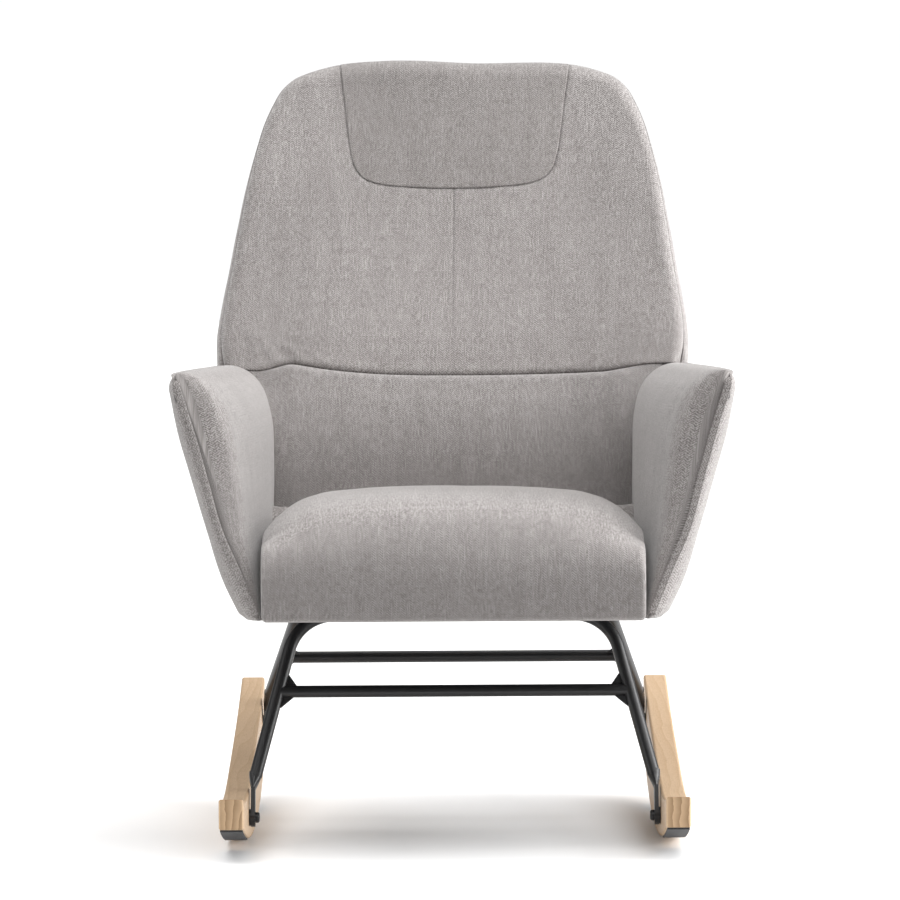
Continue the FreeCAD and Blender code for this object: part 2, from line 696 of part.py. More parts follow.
# ================================================================ seat frame
REAR_RAIL_N = FRAME_FRONT_N + 0.1
REAR_RAIL_FRONT_N = REAR_RAIL_N + 22.0
rear_rail = back_block(-RAIL_OUTER_X, RAIL_OUTER_X, BACK_LOW_W, BACK_LOW_W + 46.0,
                       REAR_RAIL_FRONT_N, REAR_RAIL_N)
rear_rail = joint_hole(rear_rail, 3.2)
rear_rail = rear_rail.cut(box(-400, 400, -400, 400, 200, RAIL_LOW_Z))
rear_rail = rear_rail.cut(box(-400, 400, -400, 400, RAIL_HIGH_Z, 400))
save("seat_rear_rail", [rear_rail])
front_rail = box(-RAIL_OUTER_X, RAIL_OUTER_X, FRONT_RAIL_Y, FRONT_RAIL_Y + RAIL_THICK,
                 RAIL_LOW_Z, RAIL_HIGH_Z)
save("seat_front_rail", [front_rail])
behind_rail = half_space_behind(REAR_RAIL_FRONT_N + 0.1)
side_rail = box(RAIL_OUTER_X - RAIL_THICK, RAIL_OUTER_X, FRONT_RAIL_Y + RAIL_THICK + 0.1, 140,
                RAIL_LOW_Z, RAIL_HIGH_Z).cut(behind_rail)
ARM_BOLT_SPOTS = ((-270.0, 316.0), (20.0, 316.0))
for y, z in ARM_BOLT_SPOTS:
    side_rail = side_rail.cut(rod(Vector(200, y, z), Vector(230, y, z), 3.2))
save("seat_side_rails", both_sides(side_rail))

bearers = []
for y in (-SEAT_BOLT_Y, SEAT_BOLT_Y):
    reach = RAIL_OUTER_X - RAIL_THICK - 0.1
    board = box(-reach, reach, y - BEARER_WIDTH / 2, y + BEARER_WIDTH / 2,
                RAIL_LOW_Z, RAIL_LOW_Z + BEARER_THICK)
    for x in (-MOUNT_X, MOUNT_X):
        board = board.cut(rod(Vector(x, y, 280), Vector(x, y, 330), 4.2))
    bearers.append(board.cut(behind_rail))
save("seat_cross_bearers", bearers)

seat_bolts = []
tee_nuts = []
for x in (-MOUNT_X, MOUNT_X):
    for y in (-SEAT_BOLT_Y, SEAT_BOLT_Y):
        top = RAIL_LOW_Z + BEARER_THICK
        head_top = Vector(x, y, mount_low_z - 0.02)
        head = rod(Vector(x, y, mount_low_z - 4.0), head_top, 6.5)
        shank = rod(Vector(x, y, mount_low_z - 1.0), Vector(x, y, top + 3.0), 3.0)
        socket = rod(Vector(x, y, mount_low_z - 4.5), Vector(x, y, mount_low_z - 2.0), 2.2)
        seat_bolts.append(head.cut(socket).fuse(shank))
        flange = rod(Vector(x, y, top + 0.02), Vector(x, y, top + 1.4), 9.5)
        barrel = rod(Vector(x, y, top - 9.0), Vector(x, y, top + 1.4), 4.1)
        bore = rod(Vector(x, y, top - 10.0), Vector(x, y, top + 4.0), 3.05)
        tee_nuts.append(flange.fuse(barrel).cut(bore))
save("seat_bolts", seat_bolts)
save("seat_tee_nuts", tee_nuts)

# sinuous springs from the front rail to the rear rail
SPRING_Z = RAIL_HIGH_Z + SPRING_WIRE_R + 0.6
SPRING_Y0 = FRONT_RAIL_Y + RAIL_THICK / 2.0
SPRING_RUNS = 21
spring_edges = []
for i in range(SPRING_RUNS):
    side = 1.0 if i % 2 == 0 else -1.0
    y0 = SPRING_Y0 + i * SPRING_STEP
    y1 = y0 + SPRING_STEP
    reach = SPRING_SWAY - SPRING_STEP / 2.0
    a = Vector(side * reach, y0, SPRING_Z)
    b = Vector(side * reach, y1, SPRING_Z)
    tip = Vector(side * SPRING_SWAY, 0.5 * (y0 + y1), SPRING_Z)
    spring_edges.append(Part.Arc(a, tip, b).toShape())
    if i < SPRING_RUNS - 1:
        spring_edges.append(Part.makeLine(b, Vector(-side * reach, y1, SPRING_Z)))
SPRING_Y1 = SPRING_Y0 + SPRING_RUNS * SPRING_STEP
spring = swept_rod(spring_edges, SPRING_WIRE_R)
springs = []
clips = []
for i in range(SPRING_COUNT):
    x = (i - (SPRING_COUNT - 1) / 2.0) * SPRING_GAP_X
    copy = spring.copy()
    copy.translate(Vector(x, 0, 0))
    springs.append(copy)
    first_x = x + SPRING_SWAY - SPRING_STEP / 2.0
    last_x = first_x if SPRING_RUNS % 2 == 1 else 2.0 * x - first_x
    for clip_x, clip_y in ((first_x, SPRING_Y0), (last_x, SPRING_Y1)):
        foot = box(clip_x - 7.0, clip_x + 7.0, clip_y - 5.0, clip_y + 5.0,
                   RAIL_HIGH_Z + 0.02, RAIL_HIGH_Z + 0.5)
        clips.append(foot)
save("seat_springs", springs)
save("seat_spring_clips", clips)

dust = box(-RAIL_OUTER_X, RAIL_OUTER_X, FRONT_RAIL_Y, 62.0, SEAT_BASE_Z + 0.05,
           SEAT_BASE_Z + 0.05 + DUST_THICK)
for x in (-MOUNT_X, MOUNT_X):
    for y in (-SEAT_BOLT_Y, SEAT_BOLT_Y):
        dust = dust.cut(rod(Vector(x, y, 280), Vector(x, y, 300), 4.5))
save("dust_cover", [dust])

# seat cushion: waterfall front that reaches down over the front rail
LIP_BACK_Y = FRONT_RAIL_Y - 2.0
CUSHION_REAR_Y = 76.0
cushion_skin = spline([
    Vector(0, SEAT_FRONT_Y + 8.0, SEAT_BASE_Z + 1.0),
    Vector(0, SEAT_FRONT_Y, 340.0),
    Vector(0, SEAT_FRONT_Y + 7.0, 388.0),
    Vector(0, SEAT_FRONT_Y + 32.0, 421.0),
    Vector(0, SEAT_FRONT_Y + 80.0, 437.0),
    Vector(0, SEAT_FRONT_Y + 160.0, SEAT_CROWN_Z),
    Vector(0, -60.0, 434.0),
    Vector(0, CUSHION_REAR_Y, SEAT_REAR_Z),
])
cushion_low_y = CUSHION_REAR_Y - 20.0
lip_low = Vector(0, LIP_BACK_Y, SEAT_BASE_Z + 1.0)
lip_high = Vector(0, LIP_BACK_Y, CUSHION_LOW_Z)
cushion_wire = Part.Wire([
    cushion_skin,
    Part.makeLine(Vector(0, CUSHION_REAR_Y, SEAT_REAR_Z), Vector(0, cushion_low_y, CUSHION_LOW_Z)),
    Part.makeLine(Vector(0, cushion_low_y, CUSHION_LOW_Z), lip_high),
    Part.makeLine(lip_high, lip_low),
    Part.makeLine(lip_low, Vector(0, SEAT_FRONT_Y + 8.0, SEAT_BASE_Z + 1.0)),
])
cushion = Part.Face(cushion_wire).extrude(Vector(2 * SEAT_HALF_X, 0, 0))
cushion.translate(Vector(-SEAT_HALF_X, 0, 0))
side_top = []
for edge in cushion.Edges:
    if edge.BoundBox.XLength < 0.1 and edge.Length > 500.0 and edge.BoundBox.ZLength > 100.0:
        side_top.append(edge)
cushion = cushion.makeFillet(SEAT_SIDE_ROUND, side_top)
save("seat_cushion", [cushion])


# ================================================================ arms
# Curves of the arm section: height against distance from the middle.
ARM_LEVELS = (293.0, 345.0, 400.0, 461.0, 520.0, 576.0)
ARM_OUT_FRONT = (254.0, 275.0, 292.5, 311.0, 327.5, 338.5)
ARM_OUT_REAR = (252.0, 264.0, 277.0, 289.0, 298.0, 303.0)
ARM_SEAM = (230.0, 250.0, 274.0, 291.0, 307.0, 324.0)
ARM_INNER = (226.3, 227.6, 227.6, 227.6, 231.0, 248.0)


class ArmStation:
    """Section of the arm at one y: outer skin line and inner pad line."""

    def __init__(self, y, outer, inner, top):
        self.y = y
        self.outer = outer
        self.inner = inner
        self.top = top


def blend(a, b, t):
    return [p + (q - p) * t for p, q in zip(a, b)]


def station(y, outer, inward, top):
    """The inner line moves from the front seam to its deepest line by inward."""
    return ArmStation(y, outer, blend(ARM_SEAM, ARM_INNER, inward), top)


NOSE = [x + 9.0 for x in ARM_SEAM]
STATIONS = [
    station(-389.0, NOSE, 0.27, 588.0),
    station(-375.0, blend(NOSE, ARM_OUT_FRONT, 0.62), 0.50, 589.0),
    station(-335.0, ARM_OUT_FRONT, 0.64, 589.5),
    station(-240.0, blend(ARM_OUT_FRONT, ARM_OUT_REAR, 0.05), 0.79, 589.0),
    station(-90.0, blend(ARM_OUT_FRONT, ARM_OUT_REAR, 0.30), 0.92, 587.5),
    station(70.0, blend(ARM_OUT_FRONT, ARM_OUT_REAR, 0.68), 0.985, 585.0),
    station(235.0, ARM_OUT_REAR, 1.0, 582.5),
]
SKIN_TOP = 5                  # level index where the outer panel ends


def at_levels(xs, y, first, last):
    return [Vector(xs[i], y, ARM_LEVELS[i]) for i in range(first, last + 1)]


def pad_section(st):
    mid = [x - ARM_SKIN - CLEAR for x in st.outer]
    inner = at_levels(st.inner, st.y, 0, SKIN_TOP)
    back = at_levels(mid, st.y, 0, SKIN_TOP)
    crown_in = Vector(0.65 * st.inner[5] + 0.35 * st.outer[5], st.y, st.top)
    crown_out = Vector(0.2 * st.inner[5] + 0.8 * st.outer[5], st.y, st.top - 1.5)
    shoulder = Vector(st.outer[5] - 0.5, st.y, ARM_LEVELS[5] + CLEAR)
    ledge = Vector(mid[5], st.y, ARM_LEVELS[5] + CLEAR)
    return Part.Wire([
        spline(inner),
        spline([inner[-1], crown_in, crown_out, shoulder]),
        Part.makeLine(shoulder, ledge),
        spline([ledge] + list(reversed(back))[1:]),
        Part.makeLine(back[0], inner[0]),
    ])


def skin_section(st):
    out = at_levels(st.outer, st.y, 0, SKIN_TOP)
    back = at_levels([x - ARM_SKIN for x in st.outer], st.y, 0, SKIN_TOP)
    return Part.Wire([
        spline(out),
        Part.makeLine(out[-1], back[-1]),
        spline(list(reversed(back))),
        Part.makeLine(back[0], out[0]),
    ])


def ply_section(st, grow):
    out = at_levels([x - ARM_SKIN - 2.0 * CLEAR + grow for x in st.outer], st.y, 0, SKIN_TOP)
    back = [Vector(p.x - ARM_PLY - 2.0 * grow, p.y, p.z) for p in out]
    return Part.Wire([
        spline(out),
        Part.makeLine(out[-1], back[-1]),
        spline(list(reversed(back))),
        Part.makeLine(back[0], out[0]),
    ])


def ply_panel(grow):
    """Bent plywood core of the arm; grow adds clearance all round."""
    body = Part.makeLoft([ply_section(st, grow) for st in STATIONS], True, False)
    room = box(200, 400, PLY_FRONT_Y - grow, 300, PLY_LOW_Z - grow, PLY_HIGH_Z + grow)
    return body.common(room)


behind_frame = half_space_behind(-CUSHION_DEPTH + CLEAR)
upper_zone = back_block(-400, 400, 1.2, 500, 0.5, -CUSHION_DEPTH - 60)


def trim_to_back(shape):
    return shape.cut(behind_frame).cut(upper_zone)


pad_loft = Part.makeLoft([pad_section(st) for st in STATIONS], True, False)
skin = trim_to_back(Part.makeLoft([skin_section(st) for st in STATIONS], True, False))
ply = trim_to_back(ply_panel(0.0))
ply_grown = ply_panel(CLEAR)

blocks = []
block_room = []
arm_bolts = []
rail_in = RAIL_OUTER_X - RAIL_THICK
for y, z in ARM_BOLT_SPOTS:
    room = box(RAIL_OUTER_X - 1.0, 275.0, y - 24.3, y + 24.3, RAIL_LOW_Z - 5.0, RAIL_HIGH_Z + CLEAR)
    block_room.append(room)
    block = box(RAIL_OUTER_X + 0.1, 275.0, y - 24.0, y + 24.0, PLY_LOW_Z + 2.0, RAIL_HIGH_Z)
    block = min(block.cut(ply_grown).Solids, key=lambda s: s.CenterOfMass.x)
    block = block.cut(rod(Vector(200, y, z), Vector(237, y, z), 3.0))
    blocks.extend(both_sides(block))
    head = rod(Vector(rail_in - 4.0, y, z), Vector(rail_in - 0.05, y, z), 6.0)
    shank = rod(Vector(rail_in - 1.0, y, z), Vector(234.0, y, z), 2.95)
    arm_bolts.extend(both_sides(head.fuse(shank)))
save("arm_fixing_blocks", blocks)
save("arm_bolts", arm_bolts)

skin_room = skin.copy()
skin_room.translate(Vector(-CLEAR, 0, 0))
pad = trim_to_back(pad_loft).cut(ply_grown).cut(skin_room)
for room in block_room:
    pad = pad.cut(room)
pad = max(pad.Solids, key=lambda s: s.Volume)
for side_name, flip in (("right", False), ("left", True)):
    for name, shape in (("arm_pad", pad), ("arm_outer_panel", skin), ("arm_plywood_panel", ply)):
        save(side_name + "_" + name, [mirror_x(shape) if flip else shape])

back_bolts = []
for x, w in joint_spots:
    for side in (-1, 1):
        head = rod(on_back(side * x, w, PANEL_FRONT_N + 0.2), on_back(side * x, w, FRAME_BACK_N - 0.05), 6.0)
        shank_end = on_back(side * x, w, REAR_RAIL_FRONT_N - 3.0)
        shank = rod(on_back(side * x, w, FRAME_BACK_N - 1.0), shank_end, 3.1)
        back_bolts.append(head.fuse(shank))
save("back_joint_bolts", back_bolts)

# piping
PIPE_Y = STATIONS[0].y - PIPING_R - 0.8
arm_line = [Vector(x + ARM_PIPE_OUT, PIPE_Y, z) for x, z in zip(ARM_SEAM, ARM_LEVELS)]
arm_pipe = swept_rod(tangent_run(arm_line, [ARM_PIPE_BEND] * (len(arm_line) - 2)), PIPING_R)
save("right_arm_piping", [arm_pipe])
save("left_arm_piping", [mirror_x(arm_pipe)])

PIPE_N = -CUSHION_DEPTH + PIPING_R
PIPE_INSET = FACE_INSET - PIPING_R - 0.9
corner_r = BACK_CORNER_R - PIPE_INSET
top_w = BACK_TOP_W - PIPE_INSET
side_x = BACK_CORNER_X + corner_r / math.cos(BACK_TAPER)
side_w = BACK_TOP_W - BACK_CORNER_R
slope = math.tan(BACK_TAPER)
hip_x = side_x - (BACK_HIP_W - side_w) * slope
low_x = hip_x - (hip_x - BACK_WAIST_HALF + PIPE_INSET) * (1.0 - PIPE_LOW_W / BACK_HIP_W)
right_run = [(low_x, PIPE_LOW_W), (hip_x, BACK_HIP_W), (side_x - (top_w - side_w) * slope, top_w)]
left_run = [(-x, w) for x, w in reversed(right_run)]
pipe_line = [on_back(x, w, PIPE_N) for x, w in right_run + left_run]
pipe_bends = [HIP_BEND, corner_r, corner_r, HIP_BEND]
save("back_piping", [swept_rod(tangent_run(pipe_line, pipe_bends), PIPING_R)])
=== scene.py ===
import bpy
import json
import math
import numpy as np
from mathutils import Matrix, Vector, noise


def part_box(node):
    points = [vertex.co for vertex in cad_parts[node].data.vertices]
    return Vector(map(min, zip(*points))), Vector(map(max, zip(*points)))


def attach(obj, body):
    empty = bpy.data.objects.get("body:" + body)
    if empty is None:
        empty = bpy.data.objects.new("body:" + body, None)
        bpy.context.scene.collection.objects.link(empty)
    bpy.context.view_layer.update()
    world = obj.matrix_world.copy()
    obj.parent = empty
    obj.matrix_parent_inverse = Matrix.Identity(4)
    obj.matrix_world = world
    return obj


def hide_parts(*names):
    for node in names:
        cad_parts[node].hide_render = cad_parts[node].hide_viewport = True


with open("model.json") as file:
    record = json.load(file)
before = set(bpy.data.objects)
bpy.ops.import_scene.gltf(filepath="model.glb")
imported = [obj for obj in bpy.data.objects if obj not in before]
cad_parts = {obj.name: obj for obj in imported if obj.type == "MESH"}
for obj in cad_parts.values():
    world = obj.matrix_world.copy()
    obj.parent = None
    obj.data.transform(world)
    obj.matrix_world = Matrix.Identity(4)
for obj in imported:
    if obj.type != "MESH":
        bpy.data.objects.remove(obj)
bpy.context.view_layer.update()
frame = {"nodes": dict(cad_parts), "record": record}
NODES = frame["nodes"]
MM = 0.001

# ------------------------------------------------------------------ design
BACK_LEAN = math.radians(22.0)
LS, LC = math.sin(BACK_LEAN), math.cos(BACK_LEAN)
WAIST_Y, WAIST_Z = 150.0, 570.0
# half of the outline of the back, across and up its plane, from the base to the top
TOP_W = 446.2
HALF_OUTLINE = ((252, -281), (277, -140), (300, 0), (305.3, 40), (305.7, 66), (301.4, 100),
                (291.2, 160), (281.7, 220), (270.9, 280), (261.2, 320), (249.3, 362), (239.1, 387),
                (227.3, 409), (213.5, 423.3), (192, 433.5), (174, 439), (152, 443.5), (125, 445.8),
                (95, TOP_W), (50, TOP_W), (0, TOP_W))
SIDE_LEAN = 0.0135            # the stuffed back stands a little to the right of straight
COVER_FOOT = 0.2925           # metres: the lowest edge of the covers of the back
CORD_FOOT = 0.295             # metres: the lower ends of the cord behind the back
SHELL_BACK = -50.0            # depth of the hidden side of the padded covers, in the plane of the back
LUMBAR_BACK = -49.0
HEADREST_BACK = -26.0
REAR_INSIDE = -78.7           # hidden side of the panel behind the back


def on_back(x, w, n):
    """Millimetres on the leaning plane of the back to metres in the frame."""
    x, w, n = np.broadcast_arrays(np.asarray(x, float), w, n)
    lean = SIDE_LEAN * np.maximum(w, 0.0)
    return np.stack([x + lean, WAIST_Y + LS * w - LC * n, WAIST_Z + LC * w + LS * n], -1) * MM


def both_sides(half):
    """Columns from the middle outwards, mirrored to the other side."""
    return np.concatenate([-half[:0:-1], half])


def ease(t):
    t = np.clip(t, 0.0, 1.0)
    return t * t * (3.0 - 2.0 * t)


def smooth_through(xs, ys, x):
    """Catmull-Rom style curve through a few knots."""
    xs = np.asarray(xs, float)
    ys = np.asarray(ys, float)
    m = np.gradient(ys, xs)
    x = np.clip(np.asarray(x, float), xs[0], xs[-1])
    i = np.clip(np.searchsorted(xs, x) - 1, 0, len(xs) - 2)
    h = xs[i + 1] - xs[i]
    t = (x - xs[i]) / h
    a = (1 + 2 * t) * (1 - t) ** 2
    b = t * (1 - t) ** 2
    c = t * t * (3 - 2 * t)
    d = t * t * (t - 1)
    return a * ys[i] + b * h * m[i] + c * ys[i + 1] + d * h * m[i + 1]


def bumps(P, scale, seed):
    """Soft repeatable noise, about -1 to 1, at points given in metres."""
    off = Vector((seed * 7.31, seed * 3.17, seed * 5.53))
    flat = P.reshape(-1, 3) / scale
    vals = [noise.noise(Vector(p) + off) for p in flat]
    return np.array(vals).reshape(P.shape[:-1])


# ------------------------------------------------------------------ mesh making
def arc_lengths(P, axis):
    """Running length along one axis of a grid of points, zero at its middle."""
    step = np.linalg.norm(np.diff(P, axis=axis), axis=-1)
    run = np.concatenate([np.zeros_like(np.take(step, [0], axis)), np.cumsum(step, axis)], axis)
    mid = P.shape[axis] // 2
    return run - np.take(run, [mid], axis)


def add_mesh(name, verts, faces, weave=None, shade_paint=None):
    me = bpy.data.meshes.new(name)
    me.from_pydata([tuple(v) for v in verts], [], faces)
    me.validate()
    if weave is not None:
        at = me.attributes.new("weave", "FLOAT_VECTOR", "POINT")
        at.data.foreach_set("vector", np.asarray(weave, np.float32).ravel())
    # painted shade: a value per point by which the cloth material is darkened
    if shade_paint is not None:
        at = me.attributes.new("shade_paint", "FLOAT", "POINT")
        at.data.foreach_set("value", np.asarray(shade_paint, np.float32).ravel())
    me.polygons.foreach_set("use_smooth", [True] * len(me.polygons))
    ob = bpy.data.objects.new(name, me)
    bpy.context.scene.collection.objects.link(ob)
    return ob


def outward(ob):
    """Make every face of a closed piece look out."""
    import bmesh
    bm = bmesh.new()
    bm.from_mesh(ob.data)
    bmesh.ops.recalc_face_normals(bm, faces=bm.faces)
    bm.to_mesh(ob.data)
    bm.free()


def grid_faces(nu, nv, wrap=False):
    faces = []
    for i in range(nu - 1):
        for j in range(nv if wrap else nv - 1):
            k = (j + 1) % nv
            faces.append((i * nv + j, (i + 1) * nv + j, (i + 1) * nv + k, i * nv + k))
    return faces


def tube_piece(name, P, weave=None, shade_paint=None):
    """Closed piece from rings P[ring, point]; both ends are capped."""
    nu, nv = P.shape[:2]
    faces = grid_faces(nu, nv, wrap=True)
    faces.append(tuple(range(nv)))
    faces.append(tuple((nu - 1) * nv + j for j in reversed(range(nv))))
    if weave is None:
        u = arc_lengths(P, 0)
        v = arc_lengths(P, 1)
        weave = np.stack([u, v, np.zeros_like(u)], -1)
    flat = None if shade_paint is None else shade_paint.reshape(-1)
    ob = add_mesh(name, P.reshape(-1, 3), faces, weave.reshape(-1, 3), flat)
    outward(ob)
    return ob


def shell_piece(name, P, back, weave=None, shade_paint=None):
    """Closed piece from an open front grid and one flat back, given as a grid
    whose border follows the front's border."""
    nu, nv = P.shape[:2]
    faces = grid_faces(nu, nv)
    rim = [(0, j) for j in range(nv)] + [(i, nv - 1) for i in range(1, nu)]
    rim += [(nu - 1, j) for j in range(nv - 2, -1, -1)] + [(i, 0) for i in range(nu - 2, 0, -1)]
    ids = [i * nv + j for i, j in rim]
    start = nu * nv
    verts = list(P.reshape(-1, 3)) + [back[i, j] for i, j in rim]
    count = len(rim)
    for k in range(count):
        m = (k + 1) % count
        faces.append((ids[m], ids[k], start + k, start + m))
    faces.append(tuple(start + k for k in range(count)))
    if weave is None:
        u = arc_lengths(P, 1)
        v = arc_lengths(P, 0)
        weave = np.stack([u, v, np.zeros_like(u)], -1)
    wv = list(weave.reshape(-1, 3)) + [weave[i, j] for i, j in rim]
    cr = None
    if shade_paint is not None:
        cr = list(shade_paint.reshape(-1)) + [shade_paint[i, j] for i, j in rim]
    ob = add_mesh(name, verts, faces, wv, cr)
    outward(ob)
    return ob


def swept(name, pts, ups, section):
    """Section (k, 2) carried along points; ups gives the second axis."""
    pts = np.asarray(pts, float)
    tan = np.gradient(pts, axis=0)
    tan /= np.linalg.norm(tan, axis=1)[:, None]
    ups = np.asarray(ups, float)
    ups = ups - (ups * tan).sum(1)[:, None] * tan
    ups /= np.linalg.norm(ups, axis=1)[:, None]
    side = np.cross(tan, ups)
    sec = np.asarray(section, float)
    P = pts[:, None] + side[:, None] * sec[None, :, 0, None] + ups[:, None] * sec[None, :, 1, None]
    return tube_piece(name, P)


def ring_section(rx, ry, count=14, power=1.0):
    out = []
    for k in range(count):
        a = 2 * math.pi * k / count
        c, s = math.cos(a), math.sin(a)
        out.append((rx * math.copysign(abs(c) ** power, c), ry * math.copysign(abs(s) ** power, s)))
    return out


# ------------------------------------------------------------------ materials
class Tree:
    """Small helper around a material's node tree."""

    def __init__(self, name):
        self.mat = bpy.data.materials.new(name)
        self.mat.use_nodes = True
        self.nt = self.mat.node_tree
        self.bsdf = self.nt.nodes["Principled BSDF"]

    def node(self, kind, **props):
        nd = self.nt.nodes.new(kind)
        for k, v in props.items():
            setattr(nd, k, v)
        return nd

    def link(self, a, b):
        self.nt.links.new(a, b)

    def math(self, op, a, b=None, c=None, clamp=False):
        nd = self.node("ShaderNodeMath", operation=op, use_clamp=clamp)
        for i, v in enumerate((a, b, c)):
            if v is None:
                continue
            if isinstance(v, (int, float)):
                nd.inputs[i].default_value = v
            else:
                self.link(v, nd.inputs[i])
        return nd.outputs[0]

    def swing(self, value, middle, gain, clamp=False):
        """How far a value lies from its middle, made stronger or weaker."""
        return self.math("MULTIPLY", self.math("SUBTRACT", value, middle), gain, clamp=clamp)

    def mix(self, fac, a, b):
        nd = self.node("ShaderNodeMix", data_type="RGBA", blend_type="MIX")
        for sock, v in ((nd.inputs[0], fac), (nd.inputs[6], a), (nd.inputs[7], b)):
            if isinstance(v, (int, float)):
                sock.default_value = v
            elif isinstance(v, tuple):
                sock.default_value = v if len(v) == 4 else (*v, 1.0)
            else:
                self.link(v, sock)
        return nd.outputs[2]

    def noise(self, vec, scale, detail=2.0, rough=0.5):
        nd = self.node("ShaderNodeTexNoise")
        nd.inputs["Scale"].default_value = scale
        nd.inputs["Detail"].default_value = detail
        nd.inputs["Roughness"].default_value = rough
        self.link(vec, nd.inputs["Vector"])
        return nd.outputs["Fac"]

    def stretch(self, vec, scale):
        nd = self.node("ShaderNodeMapping")
        nd.inputs["Scale"].default_value = scale
        self.link(vec, nd.inputs["Vector"])
        return nd.outputs["Vector"]

    def ramp(self, fac, stops):
        nd = self.node("ShaderNodeValToRGB")
        els = nd.color_ramp.elements
        while len(els) < len(stops):
            els.new(0.5)
        for el, (pos, col) in zip(els, stops):
            el.position = pos
            el.color = col if len(col) == 4 else (*col, 1.0)
        self.link(fac, nd.inputs[0])
        return nd.outputs[0]

    def bump(self, height, strength, distance):
        nd = self.node("ShaderNodeBump")
        nd.inputs["Strength"].default_value = strength
        nd.inputs["Distance"].default_value = distance
        self.link(height, nd.inputs["Height"])
        return nd.outputs[0]


COLUMN = 0.0044               # metres: width of a column of the herringbone
TWILL_PITCH = 0.0031
YARN_PITCH = 0.00155
SLUB_FROM = 0.56              # share of the noise above which a thicker thread shows


def fabric_material(name, dark, mid, light, shade_paint=True):
    """Woven chenille-like cloth: fine herringbone with upright slub threads.
    Reads the piece's own weave attribute, in metres along its threads."""
    t = Tree(name)
    at = t.node("ShaderNodeAttribute", attribute_name="weave")
    vec = at.outputs["Vector"]
    sep = t.node("ShaderNodeSeparateXYZ")
    t.link(vec, sep.inputs[0])
    u, v = sep.outputs[0], sep.outputs[1]
    wob = t.noise(vec, 55.0, 2.0)
    u2 = t.math("ADD", u, t.swing(wob, 0.5, 0.0022))
    # herringbone: twill lines whose slope flips at every column
    band = t.math("PINGPONG", u2, COLUMN)
    phase = t.math("ADD", v, t.math("MULTIPLY", band, 0.9))
    twill = t.math("SINE", t.math("MULTIPLY", phase, 2 * math.pi / TWILL_PITCH))
    yarn = t.math("SINE", t.math("MULTIPLY", u2, 2 * math.pi / YARN_PITCH))
    grain = t.noise(t.stretch(vec, (560.0, 400.0, 1.0)), 1.0, 2.0, 0.7)
    blotch = t.noise(t.stretch(vec, (430.0, 120.0, 1.0)), 1.0, 2.0, 0.6)
    slub = t.noise(t.stretch(vec, (760.0, 42.0, 1.0)), 1.0, 1.5, 0.5)
    slub_on = t.math("SMOOTH_MAX", t.swing(slub, SLUB_FROM, 5.5), 0.0, 0.1, clamp=True)
    wide = t.noise(t.stretch(vec, (60.0, 9.0, 1.0)), 1.0, 2.0, 0.5)
    tone = t.math("ADD", t.math("MULTIPLY", grain, 1.15), t.math("MULTIPLY", blotch, 0.55))
    tone = t.math("ADD", tone, t.math("MULTIPLY", twill, 0.15))
    tone = t.math("ADD", tone, t.math("MULTIPLY", yarn, 0.04))
    tone = t.math("ADD", tone, t.swing(wide, 0.5, 0.16))
    tone = t.math("SUBTRACT", tone, 0.35)
    col = t.ramp(tone, [(0.22, dark), (0.5, mid), (0.78, light)])
    slub_col = tuple(min(1.0, c * 1.22) for c in light)
    col = t.mix(t.math("MULTIPLY", slub_on, 0.42), col, slub_col)
    height = t.math("ADD", t.math("MULTIPLY", twill, 0.22), t.math("MULTIPLY", yarn, 0.18))
    height = t.math("ADD", height, t.math("MULTIPLY", grain, 0.9))
    height = t.math("ADD", height, t.math("MULTIPLY", slub_on, 0.5))
    # Painted shade: the piece's per-point shade value mixes the cloth towards near black. It stands for
    # shade in seams and on sides turned away from the light.
    if shade_paint:
        cr = t.node("ShaderNodeAttribute", attribute_name="shade_paint")
        col = t.mix(cr.outputs["Fac"], col, tuple(c * 0.22 for c in dark))
    t.link(col, t.bsdf.inputs["Base Color"])
    t.bsdf.inputs["Roughness"].default_value = 0.92
    t.bsdf.inputs["Sheen Weight"].default_value = 0.35
    t.bsdf.inputs["Sheen Roughness"].default_value = 0.45
    t.bsdf.inputs["Specular IOR Level"].default_value = 0.18
    t.link(t.bump(height, 0.55, 0.0006), t.bsdf.inputs["Normal"])
    return t.mat


